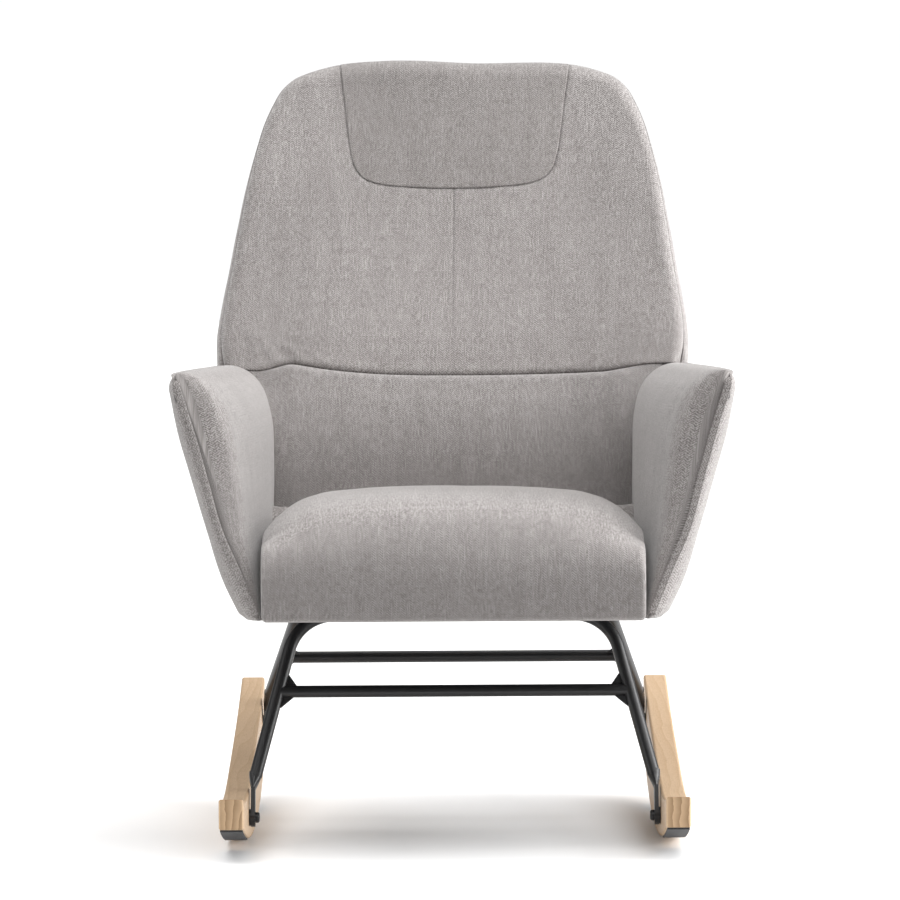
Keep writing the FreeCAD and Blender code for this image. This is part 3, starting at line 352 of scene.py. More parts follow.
def wood_material(name, pale, deep, ring_axis_z, twist=0.0, scale=1.0):
    """Sawn hardwood: growth rings round an axis along Y, fine pores, end grain
    on the cut ends."""
    t = Tree(name)
    co = t.node("ShaderNodeTexCoord").outputs["Object"]
    warp = t.noise(t.stretch(co, (9.0, 2.2, 9.0)), 1.0, 2.0, 0.5)
    off = t.node("ShaderNodeCombineXYZ")
    sx = t.swing(warp, 0.5, 0.05)
    t.link(sx, off.inputs[0])
    t.link(t.math("MULTIPLY", sx, -0.8), off.inputs[2])
    add = t.node("ShaderNodeVectorMath", operation="ADD")
    t.link(co, add.inputs[0])
    t.link(off.outputs[0], add.inputs[1])
    mp = t.node("ShaderNodeMapping")
    mp.inputs["Location"].default_value = (0.0, 0.0, ring_axis_z)
    mp.inputs["Rotation"].default_value = (0.17, twist, 0.06)
    mp.inputs["Scale"].default_value = (1.0, 0.18, 1.0)
    t.link(add.outputs[0], mp.inputs["Vector"])
    wave = t.node("ShaderNodeTexWave", wave_type="RINGS", rings_direction="Y", wave_profile="SAW")
    wave.inputs["Scale"].default_value = 30.0 * scale
    wave.inputs["Distortion"].default_value = 2.6
    wave.inputs["Detail"].default_value = 2.5
    wave.inputs["Detail Scale"].default_value = 1.6
    t.link(mp.outputs[0], wave.inputs["Vector"])
    fibre = t.noise(t.stretch(co, (900.0, 22.0, 900.0)), 1.0, 3.0, 0.65)
    pores = t.noise(t.stretch(co, (520.0, 60.0, 520.0)), 1.0, 2.0, 0.7)
    cloud = t.noise(t.stretch(co, (7.0, 2.5, 7.0)), 1.0, 3.0, 0.5)
    mid = tuple(0.5 * (a + b) for a, b in zip(pale, deep))
    col = t.ramp(wave.outputs["Fac"], [(0.0, pale), (0.72, mid), (1.0, deep)])
    col = t.mix(t.math("MULTIPLY", cloud, 0.7), pale, col)
    col = t.mix(t.swing(fibre, 0.42, 1.1, clamp=True), col, tuple(c * 0.72 for c in deep))
    dots = t.swing(pores, 0.66, 5.0, clamp=True)
    col = t.mix(t.math("MULTIPLY", dots, 0.35), col, tuple(c * 0.45 for c in deep))
    # cut ends face along Y and soak up more finish
    geo = t.node("ShaderNodeNewGeometry")
    sep = t.node("ShaderNodeSeparateXYZ")
    t.link(geo.outputs["Normal"], sep.inputs[0])
    end = t.swing(t.math("ABSOLUTE", sep.outputs[1]), 0.8, 5.0, clamp=True)
    end_pale = tuple(0.86 * c for c in mid)
    end_deep = tuple(0.5 * c for c in deep)
    col = t.mix(t.math("MULTIPLY", end, 0.85), col, t.mix(wave.outputs["Fac"], end_pale, end_deep))
    t.link(col, t.bsdf.inputs["Base Color"])
    t.bsdf.inputs["Roughness"].default_value = 0.48
    t.bsdf.inputs["Specular IOR Level"].default_value = 0.35
    h = t.math("ADD", t.math("MULTIPLY", fibre, 0.6), t.math("MULTIPLY", dots, -0.6))
    t.link(t.bump(h, 0.25, 0.0003), t.bsdf.inputs["Normal"])
    return t.mat


def metal_material(name, color, rough, speck, metallic=0.0):
    """Paint or plating with a fine speckle."""
    t = Tree(name)
    co = t.node("ShaderNodeTexCoord").outputs["Object"]
    fine = t.noise(co, 1400.0, 2.0)
    cloud = t.noise(co, 18.0, 3.0)
    col = t.ramp(t.math("ADD", t.math("MULTIPLY", fine, 0.5), t.math("MULTIPLY", cloud, 0.5)),
                 [(0.3, tuple(c * 0.8 for c in color)), (0.7, tuple(min(1, c * 1.25) for c in color))])
    t.link(col, t.bsdf.inputs["Base Color"])
    rr = t.math("ADD", t.math("MULTIPLY", cloud, 0.12), rough - 0.06)
    t.link(rr, t.bsdf.inputs["Roughness"])
    t.bsdf.inputs["Metallic"].default_value = metallic
    t.link(t.bump(fine, speck, 0.0002), t.bsdf.inputs["Normal"])
    return t.mat


def rubber_material(name):
    """Dull black rubber, ribbed across its length."""
    t = Tree(name)
    co = t.node("ShaderNodeTexCoord").outputs["Object"]
    fine = t.noise(co, 1100.0, 3.0)
    ribs = t.node("ShaderNodeTexWave", wave_type="BANDS", bands_direction="Y")
    ribs.inputs["Scale"].default_value = 90.0
    t.link(co, ribs.inputs["Vector"])
    col = t.ramp(fine, [(0.3, (0.010, 0.010, 0.011)), (0.75, (0.034, 0.034, 0.036))])
    t.link(col, t.bsdf.inputs["Base Color"])
    t.bsdf.inputs["Roughness"].default_value = 0.62
    h = t.math("ADD", t.math("MULTIPLY", ribs.outputs["Fac"], 0.7), t.math("MULTIPLY", fine, 0.3))
    t.link(t.bump(h, 0.35, 0.0004), t.bsdf.inputs["Normal"])
    return t.mat


def thread_material(name, color):
    """Twisted yarn or plain cloth of one colour."""
    t = Tree(name)
    co = t.node("ShaderNodeTexCoord").outputs["Object"]
    twist = t.noise(co, 2200.0, 2.0)
    col = t.ramp(twist, [(0.3, tuple(c * 0.8 for c in color)), (0.7, color)])
    t.link(col, t.bsdf.inputs["Base Color"])
    t.bsdf.inputs["Roughness"].default_value = 0.75
    t.bsdf.inputs["Sheen Weight"].default_value = 0.2
    t.link(t.bump(twist, 0.4, 0.0002), t.bsdf.inputs["Normal"])
    return t.mat


FABRIC = fabric_material(
    "fabric_cover", (0.145, 0.130, 0.125), (0.295, 0.274, 0.266), (0.50, 0.475, 0.464))
# Painted shade: a darker copy of the cover cloth for the lumbar, standing for the shade it lies in
# between the arms and below the back.
FABRIC_PAINTED_SHADE = fabric_material(
    "fabric_lumbar_painted_shade", (0.115, 0.103, 0.099), (0.238, 0.221, 0.215), (0.41, 0.39, 0.38))
FABRIC_HEAD = fabric_material(
    "fabric_headrest", (0.135, 0.122, 0.117), (0.25, 0.232, 0.224), (0.40, 0.378, 0.368))
FABRIC_TRIM = fabric_material(
    "fabric_piping", (0.14, 0.127, 0.122), (0.24, 0.223, 0.217), (0.34, 0.32, 0.312), False)
WOOD = wood_material("wood_rocker", (0.60, 0.435, 0.285), (0.42, 0.26, 0.13), -0.035)
WOOD_FRAME = wood_material("wood_frame", (0.60, 0.43, 0.26), (0.42, 0.27, 0.13), -0.2, 0.3, 0.7)
BLACK = metal_material("metal_black", (0.012, 0.012, 0.013), 0.36, 0.12)
ZINC = metal_material("steel_zinc", (0.55, 0.55, 0.56), 0.34, 0.08, 1.0)
RUBBER = rubber_material("rubber_black")
DUST = thread_material("dust_cloth", (0.02, 0.02, 0.02))
WEB = thread_material("webbing", (0.05, 0.05, 0.052))
THREAD = thread_material("stitch_thread", (0.27, 0.25, 0.24))

SLOT_MAT = {"wood_rocker": WOOD, "wood_frame": WOOD_FRAME, "metal_black": BLACK, "steel_zinc": ZINC,
            "rubber_black": RUBBER, "dust_cloth": DUST, "webbing": WEB, "fabric_cover": FABRIC,
            "fabric_piping": FABRIC_TRIM}
for part in frame["record"]["subparts"]:
    ob = NODES[part["node"]]
    ob.data.materials.clear()
    ob.data.materials.append(SLOT_MAT[part["material_slot"]])


def finish_piece(ob, mat, nodes=()):
    """Material, body, slot and the nodes of the design this piece stands for."""
    ob.data.materials.append(mat)
    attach(ob, "root")
    if nodes:
        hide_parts(*nodes)
    return ob


# ------------------------------------------------------------------ back outline
def even_points(pts, step):
    """Respace a chain of points evenly."""
    seg = np.linalg.norm(np.diff(pts, axis=0), axis=1)
    run = np.concatenate([[0.0], np.cumsum(seg)])
    want = np.linspace(0.0, run[-1], max(4, int(round(run[-1] / step))))
    return np.stack([np.interp(want, run, pts[:, k]) for k in range(pts.shape[1])], -1)


def soft_chain(knots, step):
    """Even points along a smooth curve through a few knots."""
    knots = np.array(knots, float)
    run = np.concatenate([[0.0], np.cumsum(np.linalg.norm(np.diff(knots, axis=0), axis=1))])
    fine = np.linspace(0.0, run[-1], 4000)
    curve = np.stack([smooth_through(run, knots[:, k], fine) for k in range(2)], -1)
    return even_points(curve, step)


def seam_inset(w):
    """How far the seam of the padded front lies inside the outline."""
    heights = (-281, 0, 90, 200, 300, 370, 415, 447)
    return smooth_through(heights, (7.5, 7.5, 7.8, 6.6, 5.2, 3.4, 1.6, 1.0), w)


def half_chain(inset, step=2.0):
    """Right half of the outline moved inwards, from the base to the middle of
    the top. The inset is a number or a function of the height."""
    line = soft_chain(HALF_OUTLINE, step)
    tan = np.gradient(line, axis=0)
    tan /= np.linalg.norm(tan, axis=1)[:, None]
    inward = np.stack([-tan[:, 1], tan[:, 0]], -1)
    amount = inset(line[:, 1]) if callable(inset) else np.full(len(line), inset)
    line = line + inward * amount[:, None]
    line[-1, 0] = 0.0
    return line


def half_width(w, inset=0.0):
    """Half the width of the back at a height."""
    line = half_chain(inset)
    line[:, 1] = np.maximum.accumulate(line[:, 1] + 1e-6 * np.arange(len(line)))
    return np.interp(w, line[:, 1], line[:, 0])


def outline_points(inset, w_low):
    """Points up the right side, over the top and down the left side."""
    line = half_chain(inset)
    right = line[line[:, 1] >= w_low]
    return np.concatenate([right, right[-2::-1] * np.array([-1.0, 1.0])])


def outline_rows(inset, w_low, step):
    """Heights of rows whose ends follow the outline evenly, up to its flat top."""
    line = half_chain(inset)
    line = line[line[:, 1] >= w_low]
    top = line[:, 1].max()
    rise = line[line[:, 1] < top - 0.25]
    return even_points(rise, step)[:, 1]


def distance_to(X, W, line):
    """Distance from every (X, W) to a polyline in the back plane."""
    P = np.stack([X.ravel(), W.ravel()], -1)
    best = np.full(len(P), 1e9)
    for a, b in zip(line[:-1], line[1:]):
        ab = b - a
        t = np.clip(((P - a) @ ab) / max(ab @ ab, 1e-9), 0.0, 1.0)
        d = np.linalg.norm(P - (a + t[:, None] * ab), axis=1)
        best = np.minimum(best, d)
    return best.reshape(X.shape)


def rounded_edge(d, radius):
    """Drop of a rounded edge at distance d from the border."""
    q = np.clip(radius - d, 0.0, radius)
    return radius - np.sqrt(np.maximum(radius * radius - q * q, 0.0))


# seam of the headrest: a U in the plane of the back, in millimetres
HEAD_LOW = 257.0
HEAD_HALF = ((153.0, 470.0), (149.0, 425.0), (143.0, 375.0), (138.5, 335.0), (134.0, 305.0),
             (127.5, 284.0), (115.0, 270.0), (97.0, 263.5), (60.0, 259.0), (0.0, HEAD_LOW))
HEAD_POINTS = 160


def head_line():
    """The whole U, from its right end over the bottom to its left end."""
    chain = list(HEAD_HALF) + [(-x, w) for x, w in HEAD_HALF[-2::-1]]
    chain = np.array(chain)
    seg = np.concatenate([[0.0], np.cumsum(np.linalg.norm(np.diff(chain, axis=0), axis=1))])
    want = np.linspace(0.0, seg[-1], HEAD_POINTS)
    return np.stack([smooth_through(seg, chain[:, 0], want), smooth_through(seg, chain[:, 1], want)], -1)


HEAD_LINE = head_line()
HEAD_LEFT = HEAD_LINE[HEAD_POINTS // 2:]


def inside_head(X, W):
    half = np.interp(W, HEAD_LEFT[:, 1], -HEAD_LEFT[:, 0])
    low = np.interp(np.abs(X), np.abs(HEAD_LEFT[:, 0]), HEAD_LEFT[:, 1])
    return (np.abs(X) < half) & (W > low)


def top_rise(X, W):
    """The stuffing stands a little higher left of the middle of the top."""
    high = 2.6 * np.exp(-((X + 60.0) / 75.0) ** 2)
    low = 1.6 * np.exp(-((X - 20.0) / 60.0) ** 2)
    return (high - low) * ease((W - 380) / 70.0)


def back_face(X, W):
    """Height of the padded front of the back over its plane. It is slightly
    hollow from side to side, and full behind the head."""
    hollow = 7.0 * (np.abs(X) / 280.0) ** 2 * ease((400.0 - W) / 160.0)
    full = 5.0 * np.exp(-(X / 150.0) ** 2) * ease((W - 150.0) / 160.0) * ease((470.0 - W) / 60.0)
    return hollow + full - 3.0 + 3.0 * ease(W / 60.0)


def waist_rise(X, W):
    """The waist seam rides up towards its ends, more on the left."""
    left = 15.5 * np.clip(-X / 202.0, 0, 1) ** 2.6 - 9.0 * ease((-X - 205.0) / 45.0)
    right = 3.0 * np.clip(X / 190.0, 0, 1) ** 2 + 10.0 * ease((X - 185.0) / 75.0)
    return (left + right) * (1.0 - ease(np.abs(W) / 75.0))


def seam_ends(X):
    """The fold of the waist seam runs out towards the arms."""
    return 1.0 - ease((np.abs(X) - 205.0) / 45.0)


def vertical_seam(X, W):
    """Middle seam of the back, between the waist and the headrest."""
    fade = ease((HEAD_LOW + 4 - W) / 6.0) * ease((W - 2.0) / 150.0)
    return fade * np.exp(-(X / 1.5) ** 2)


def side_fold(X, W):
    """Small pulls in the cloth near both ends of the waist seam."""
    a = np.abs(X)
    out = np.zeros_like(X)
    for cx, cw, ang, ln, amp in ((236, 26, 0.5, 30, 1.6), (205, 20, 0.85, 26, 1.3),
                                 (258, 44, 0.25, 34, 1.2), (172, 14, 1.1, 20, 0.9),
                                 (140, 11, 1.25, 18, 0.6)):
        dx, dw = a - cx, W - cw
        along = dx * math.sin(ang) + dw * math.cos(ang)
        across = dx * math.cos(ang) - dw * math.sin(ang)
        out += amp * np.exp(-(along / ln) ** 2) * np.exp(-(across / 5.0) ** 2)
    return out


def edge_radius(w):
    """The padded front is rounder towards the top."""
    return 14.0 + 16.0 * ease((w - 320.0) / 110.0)


def back_weave(X, W, shift=0.0):
    """Threads of a piece that lies on the back; the shift keeps two pieces from
    showing the same threads side by side."""
    return np.stack([X * MM + shift, W * MM, np.zeros_like(X)], -1)


def make_upper_back():
    foot = np.array([0.6, 1.3, 2.6, 4.6, 7.3, 10.5, 14.0])
    rows = np.concatenate([foot, outline_rows(seam_inset, 17.0, 3.4)])
    edge = 1.0 - np.array([0.0, 0.0012, 0.004, 0.009, 0.016, 0.025, 0.036, 0.05, 0.066])
    centre = np.array([0.0, 0.004, 0.008, 0.013, 0.02])
    half = np.sort(np.concatenate([centre, np.linspace(0.032, 0.92, 66), edge]))
    cols = both_sides(half)
    W = np.repeat(rows[:, None], len(cols), 1)
    X = half_width(rows, seam_inset)[:, None] * cols[None, :]
    d = distance_to(X, W, outline_points(seam_inset, -60.0))
    head_d = distance_to(X, W, HEAD_LINE)
    n = back_face(X, W) - rounded_edge(d, edge_radius(W))
    n = n - rounded_edge(W - 0.6, 7.0) * (0.15 + 0.85 * seam_ends(X))
    n = n - 0.8 * vertical_seam(X, W) + side_fold(X, W) * ease(d / 20.0)
    inner = inside_head(X, W)
    groove = 0.9 * np.exp(-(head_d / 2.2) ** 2)
    n = n - np.where(inner, 0.9 + 5.0 * ease(head_d / 3.0), groove)
    P = on_back(X, W, n)
    n += 0.9 * bumps(P, 0.11, 1) + 0.45 * bumps(P, 0.035, 2) + top_rise(X, W)
    # Painted shade: dark lines along the middle seam and the headrest seam, and a darker right side and
    # lower left side of the back, where less light falls.
    shade_paint = 0.28 * vertical_seam(X * 1.6, W) + 0.35 * np.exp(-(head_d / 1.5) ** 2)
    shade_paint = shade_paint + 0.10 * ease((X - 60.0) / 150.0)
    shade_paint = shade_paint + 0.10 * ease((-X - 120.0) / 110.0) * ease((320.0 - W) / 120.0)
    up = W + top_rise(X, W) + waist_rise(X, W)
    P = on_back(X, up, n)
    back = on_back(X, up, np.full_like(X, SHELL_BACK))
    weave = back_weave(X, W)
    ob = shell_piece("upper_back_cushion_cover", P, back, weave, shade_paint)
    return finish_piece(ob, FABRIC, ["upper_back_cushion"])


def make_headrest():
    order = np.argsort(HEAD_LEFT[:, 1])
    top = TOP_W - 1.2
    foot = HEAD_LOW + 34.0 * (1 - np.cos(np.linspace(0.03, math.pi / 2, 18)))
    crest = top - 30 + 30 * np.sin(np.linspace(0.02, math.pi / 2, 16))
    rows = np.concatenate([foot, np.arange(HEAD_LOW + 37.0, top - 30, 3.4), crest])
    edge = 1 - np.array([0, 0.002, 0.006, 0.013, 0.022, 0.034, 0.05])
    half = np.sort(np.concatenate([np.linspace(0.0, 0.93, 44), edge]))
    cols = both_sides(half)
    hw = np.interp(rows, HEAD_LEFT[order, 1], -HEAD_LEFT[order, 0])
    X = np.minimum(hw, half_width(rows, seam_inset) - 0.3)[:, None] * cols[None, :]
    W = np.repeat(rows[:, None], len(cols), 1)
    d_seam = distance_to(X, W, HEAD_LINE)
    d_top = distance_to(X, W, outline_points(seam_inset, 100.0))
    n = back_face(X, W) + 0.3 - rounded_edge(d_seam, 1.6) - rounded_edge(d_top, edge_radius(W))
    P = on_back(X, W, n)
    n += 0.9 * bumps(P, 0.12, 5) + 0.4 * bumps(P, 0.035, 6) + top_rise(X, W)
    pucker = np.exp(-(d_seam / 7.0) ** 2) * np.sin((np.abs(X) + W) * 0.42)
    n += 0.35 * pucker
    P = on_back(X, W + top_rise(X, W), n)
    back = on_back(X, W, np.full_like(X, HEADREST_BACK))
    weave = back_weave(X, W, 0.31)
    ob = shell_piece("headrest_cover", P, back, weave, np.zeros_like(X))
    return finish_piece(ob, FABRIC_HEAD, ["headrest_pad"])


def make_lumbar():
    crest = -14 + 13.6 * np.sin(np.linspace(0.06, math.pi / 2, 14))
    rows = np.concatenate([np.linspace(-206, -14, 60), crest])
    edge = 1 - np.array([0, 0.003, 0.008, 0.016, 0.027, 0.04])
    half = np.sort(np.concatenate([np.linspace(0, 0.94, 60), edge]))
    cols = both_sides(half)
    hw = smooth_through([-206, -160, -100, -60, -20, 0], [229, 231, 233, 238, 260, 272], rows)
    X = hw[:, None] * cols[None, :]
    W = np.repeat(rows[:, None], len(cols), 1)
    prof = smooth_through([-206, -160, -125, -85, -45, -18, 0], [3, 12, 18, 20, 17.5, 12, 8], W)
    d_side = hw[:, None] * (1 - np.abs(cols))[None, :]
    n = prof - rounded_edge(-0.4 - W, 12.0) * seam_ends(X) - rounded_edge(d_side, 3.0)
    n = n + 3.0 * (X / 240.0) ** 2 - 1.0 - 10.0 * (1 - seam_ends(X)) * ease((W + 60.0) / 50.0)
    fold = 0.0
    for cx, ang, amp in ((222, 0.7, 1.4), (196, 1.0, 1.0), (168, 1.2, 0.7)):
        dx, dw = np.abs(X) - cx, W + 14
        across = dx * math.cos(ang) + dw * math.sin(ang)
        along = dx * math.sin(ang) - dw * math.cos(ang)
        fold = fold + amp * np.exp(-(across / 4.5) ** 2) * np.exp(-(along / 24.0) ** 2)
    P = on_back(X, W, n)
    n = n + fold + 1.0 * bumps(P, 0.1, 11) + 0.45 * bumps(P, 0.03, 12)
    P = on_back(X, W + waist_rise(X, W), n)
    back = on_back(X, W + waist_rise(X, W), np.full_like(X, LUMBAR_BACK))
    weave = back_weave(X, W, 0.12)
    # Painted shade: the lumbar is darker towards its right end, in the shadow of the right arm, and
    # towards its bottom, down by the seat.
    painted_shading = 0.14 * ease((X - 100.0) / 100.0) + 0.10 * ease((-60.0 - W) / 70.0)
    ob = shell_piece("lumbar_cushion_cover", P, back, weave, painted_shading)
    return finish_piece(ob, FABRIC_PAINTED_SHADE, ["lumbar_cushion"])


# ------------------------------------------------------------------ side band, rear panel, back piping
def make_side_band():
    line = even_points(outline_points(0.0, -276.0), 4.0)
    tan = np.gradient(line, axis=0)
    tan /= np.linalg.norm(tan, axis=1)[:, None]
    inward = np.stack([-tan[:, 1], tan[:, 0]], -1)
    w = line[:, 1]
    behind_arm = 1.0 - ease((w - 4.0) / 26.0)
    gap = seam_inset(w)
    start = -edge_radius(w) - 1.0
    one = np.ones_like(w)
    # sections of the band as (inwards from the outline, depth), above the arms and behind them
    high = [(gap + 1.0, start + 2.0), (gap * 0.62, start - 1.0), (gap * 0.3, start - 7.0),
            (gap * 0.08, start - 17.0)]
    high += [(a * one, b * one) for a, b in (
        (0.0, -50.0), (0.0, -62.0), (1.2, -73.0), (4.0, -78.4), (14.0, -78.4), (24.0, -78.2),
        (26.0, -60.0), (24.0, -52.5))]
    high.append((gap + 5.0, start - 8.0))
    low = [(6.0, -53.0), (4.5, -53.2), (2.6, -54.0), (1.3, -57.0), (0.4, -61.0), (0.0, -66.0),
           (1.2, -73.0), (4.0, -78.4), (9.0, -78.4), (9.0, -76.0), (9.0, -68.0), (9.0, -60.0),
           (8.0, -54.0)]
    high = np.array(high).transpose(2, 0, 1)
    sec = high * (1 - behind_arm)[:, None, None] + np.array(low)[None] * behind_arm[:, None, None]
    X = line[:, None, 0] + inward[:, None, 0] * sec[:, :, 0]
    W = line[:, None, 1] + inward[:, None, 1] * sec[:, :, 0]
    P = on_back(X, W + top_rise(X, W), sec[:, :, 1])
    ripple = 0.5 * bumps(P, 0.04, 21)[:, 1:7, None]
    out = on_back(-inward[:, 0], -inward[:, 1], 0.0) - on_back(0.0, 0.0, 0.0)
    P[:, 1:7] += out[:, None, :] * ripple
    P[..., 2] = np.maximum(P[..., 2], COVER_FOOT)
    run = arc_lengths(P, 0)[:, :1]
    across = sec[:, :, 1] * MM
    weave = np.stack([across, np.repeat(run, sec.shape[1], 1), np.zeros_like(across)], -1)
    ob = tube_piece("back_side_band_cover", P, weave, np.zeros_like(across))
    return finish_piece(ob, FABRIC, ["back_side_band"])


def make_rear_panel():
    rows = outline_rows(3.0, -274.0, 4.5)
    edge = 1 - np.array([0, 0.0015, 0.005, 0.011, 0.02, 0.032, 0.05])
    half = np.sort(np.concatenate([np.linspace(0, 0.93, 46), edge]))
    cols = both_sides(half)
    W = np.repeat(rows[:, None], len(cols), 1)
    X = half_width(rows, 3.0)[:, None] * cols[None, :]
    d = distance_to(X, W, outline_points(3.0, -400.0))
    n = -88.5 + rounded_edge(d, 9.0) - 2.0 * ease(d / 90.0) + rounded_edge(W + 276.0, 6.0)
    P = on_back(X, W, n)
    n = n + 0.8 * bumps(P, 0.14, 31) + 0.35 * bumps(P, 0.04, 32)
    P = on_back(X, W + top_rise(X, W), n)
    P[..., 2] = np.maximum(P[..., 2], COVER_FOOT)
    back = on_back(X, W + top_rise(X, W), np.full_like(X, REAR_INSIDE))
    back[..., 2] = np.maximum(back[..., 2], COVER_FOOT)
    weave = back_weave(X, W)
    ob = shell_piece("rear_panel_cover", P, back, weave, np.zeros_like(X))
    return finish_piece(ob, FABRIC, ["rear_outer_panel"])


def cord_round_back(name, inset, depth, radius, w_low, replaced=()):
    """Thin cord let into a seam round the back."""
    line = even_points(outline_points(inset, w_low), 3.0)
    W = line[:, 1] + top_rise(line[:, 0], line[:, 1])
    pts = on_back(line[:, 0], W, depth(line[:, 1]))
    pts[:, 2] = np.maximum(pts[:, 2], CORD_FOOT)
    ups = np.tile(on_back(0.0, 0.0, 1.0) - on_back(0.0, 0.0, 0.0), (len(pts), 1))
    ob = swept(name, pts, ups, ring_section(radius * MM, radius * MM))
    return finish_piece(ob, FABRIC_TRIM, replaced)


def make_back_piping():
    """The cord of the front seam stands for the piping of the design; the one
    behind closes the rear panel."""
    inset = lambda w: seam_inset(w) - 0.2
    depth = lambda w: -edge_radius(w) + 0.6
    cord_round_back("back_front_piping", inset, depth, 1.5, 12.0, ["back_piping"])
    cord_round_back("back_rear_piping", 2.2, lambda w: np.full_like(w, -79.2), 2.2, -272.0)


# ------------------------------------------------------------------ seat cushion
SEAT_HALF = 228.8
# section of the cushion from front to back as (y, z): underside, front roll, top, rear, underside
SEAT_PROFILE = [(-300.0, 294.0), (-380.0, 293.5), (-404.0, 293.5), (-411.5, 296.5),
                (-415.5, 306.5), (-418.5, 322.0), (-420.0, 345.0), (-418.5, 368.0),
                (-412.0, 391.0), (-399.0, 411.0), (-378.0, 426.5), (-346.0, 436.0),
                (-300.0, 440.5), (-240.0, 441.5), (-160.0, 439.5), (-60.0, 433.5),
                (30.0, 425.0), (72.0, 419.0), (76.0, 412.0), (70.0, 380.0),
                (62.0, 350.0), (30.0, 347.0), (-140.0, 347.0), (-260.0, 330.0)]
CROWN_DROP, CROWN_RUN = 41.0, 80.0    # how deep and how wide the cushion rolls down at its sides


def closed_smooth(pts, step):
    """Smooth closed curve through points, evenly respaced."""
    pts = np.array(pts, float)
    ext = np.concatenate([pts[-3:], pts, pts[:4]])
    seg = np.concatenate([[0], np.cumsum(np.linalg.norm(np.diff(ext, axis=0), axis=1))])
    a, b = seg[3], seg[3 + len(pts)]
    want = np.linspace(a, b, int((b - a) / step), endpoint=False)
    return np.stack([smooth_through(seg, ext[:, k], want) for k in range(2)], -1)


def make_seat():
    prof = closed_smooth(SEAT_PROFILE, 4.0)
    nxt = np.roll(prof, -1, 0) - np.roll(prof, 1, 0)
    nxt /= np.linalg.norm(nxt, axis=1)[:, None]
    nrm = np.stack([nxt[:, 1], -nxt[:, 0]], -1)
    centre = prof.mean(0)
    if ((prof - centre) * nrm).sum() < 0:
        nrm = -nrm
    edge = 1 - 0.24 * (1 - np.sin(np.linspace(0, math.pi / 2, 26)))
    half = np.sort(np.concatenate([np.linspace(0, 0.76, 44), edge]))
    half = np.unique(np.round(half, 6))
    cols = both_sides(half)
    X = SEAT_HALF * cols
    d = SEAT_HALF * (1 - np.abs(cols))
    up = np.clip(nrm[:, 1], 0, 1)
    front = np.clip(-nrm[:, 0], 0, 1) * (prof[:, 1] < 425)
    rear = np.clip(nrm[:, 0], 0, 1) * (prof[:, 1] > 355.0)
    radius = 6.0 + 6.0 * front * ease((prof[:, 1] - 340) / 60.0)
    q = np.clip(radius[None, :] - d[:, None], 0, radius[None, :])
    drop = radius[None, :] - np.sqrt(np.maximum(radius[None, :] ** 2 - q ** 2, 0))
    crown = CROWN_DROP * np.clip(1.0 - d / CROWN_RUN, 0, 1) ** 2.3
    share = ease(np.maximum(up, rear) * 1.1)[None, :]
    drop = drop * (1 - share) + crown[:, None] * share
    bulge = (1 - (X / SEAT_HALF) ** 2)[:, None]
    dome = 3.0 * bulge * ease((up - 0.3) * 1.6)[None, :]
    dome = dome + 2.5 * bulge * (front * ease((prof[:, 1] - 300) / 50))[None, :]
    dome = dome - 7.0 * np.clip((np.abs(X) - 40.0) / 130.0, 0, 1)[:, None] ** 2 * ease(up * 1.2)[None, :]
    Y = prof[None, :, 0] - nrm[None, :, 0] * (drop - dome)
    Z = prof[None, :, 1] - nrm[None, :, 1] * (drop - dome)
    P = np.stack([np.repeat(X[:, None], len(prof), 1), Y, Z], -1) * MM
    shown = ((prof[:, 1] > 300) & ((nrm[:, 1] > 0.02) | (nrm[:, 0] < -0.3)))[None, :].astype(float)
    amount = (1.3 * bumps(P, 0.12, 41) + 0.6 * bumps(P, 0.04, 42)) * shown * MM
    for k, c in ((1, 0), (2, 1)):
        P[..., k] += amount * nrm[None, :, c]
    v = arc_lengths(P[len(cols) // 2:len(cols) // 2 + 1], 1)
    weave = np.stack([P[..., 0], np.repeat(v, len(cols), 0), np.zeros(P.shape[:2])], -1)
    # Painted shade: the front of the seat is darker towards its lower edge, which is turned away from
    # the light above.
    painted_shading = 0.17 * ease((395.0 - prof[:, 1]) / 70.0)[None, :] * np.ones(P.shape[:2])
    ob = tube_piece("seat_cushion_cover", P, weave, painted_shading)
    return finish_piece(ob, FABRIC, ["seat_cushion"])


# ------------------------------------------------------------------ arms
LEVELS = (293.0, 345.0, 400.0, 461.0, 520.0, 576.0)
OUT_FRONT = np.array((255.5, 278.0, 295.0, 312.8, 329.5, 341.0))
OUT_REAR = np.array((252.0, 264.0, 277.0, 289.0, 298.0, 303.0))
SEAM_X = np.array((229.0, 250.0, 274.0, 291.0, 307.5, 325.0))
INNER_X = np.array((226.3, 227.6, 227.6, 227.6, 231.0, 248.0))
ARM_Y = (-389.0, -384.5, -375.0, -335.0, -240.0, -90.0, 70.0, 235.0)
OUTWARD = (0.0, 0.3, 0.62, 1.0, 1.05, 1.3, 1.68, 2.0)       # 0 nose, 1 widest, 2 rear
INWARD = (0.17, 0.38, 0.50, 0.64, 0.79, 0.92, 0.985, 1.0)    # from the seam to the deepest line
ARM_TOP = (590.5, 591.0, 591.0, 590.5, 589.5, 587.5, 585.0, 582.5)
NOSE_OUT = SEAM_X + 9.0
ARM_OUT = [NOSE_OUT + k * (OUT_FRONT - NOSE_OUT) if k <= 1 else
           OUT_FRONT + (k - 1) * (OUT_REAR - OUT_FRONT) for k in OUTWARD]
ARM_IN = [SEAM_X + k * (INNER_X - SEAM_X) for k in INWARD]
TOP_SEAM = 0.74               # share of the way over the top where the outer panel is sewn on
SHOULDER_IN, SHOULDER_OUT = 540.0, 569.0
PAD_PARTS = (34, 24, 24)      # points up the inside, over the top and down the hidden side
SKIN_PARTS = (40, 14, 34)
ARM_FRAME_DEPTH = -54.0       # the arm ends on the frame at this depth of the back
FELL_Y = -390.0               # front of the felled seam
FELL_STEPS, FELL_TURN = 60, 14
WEAVE_RING = 20


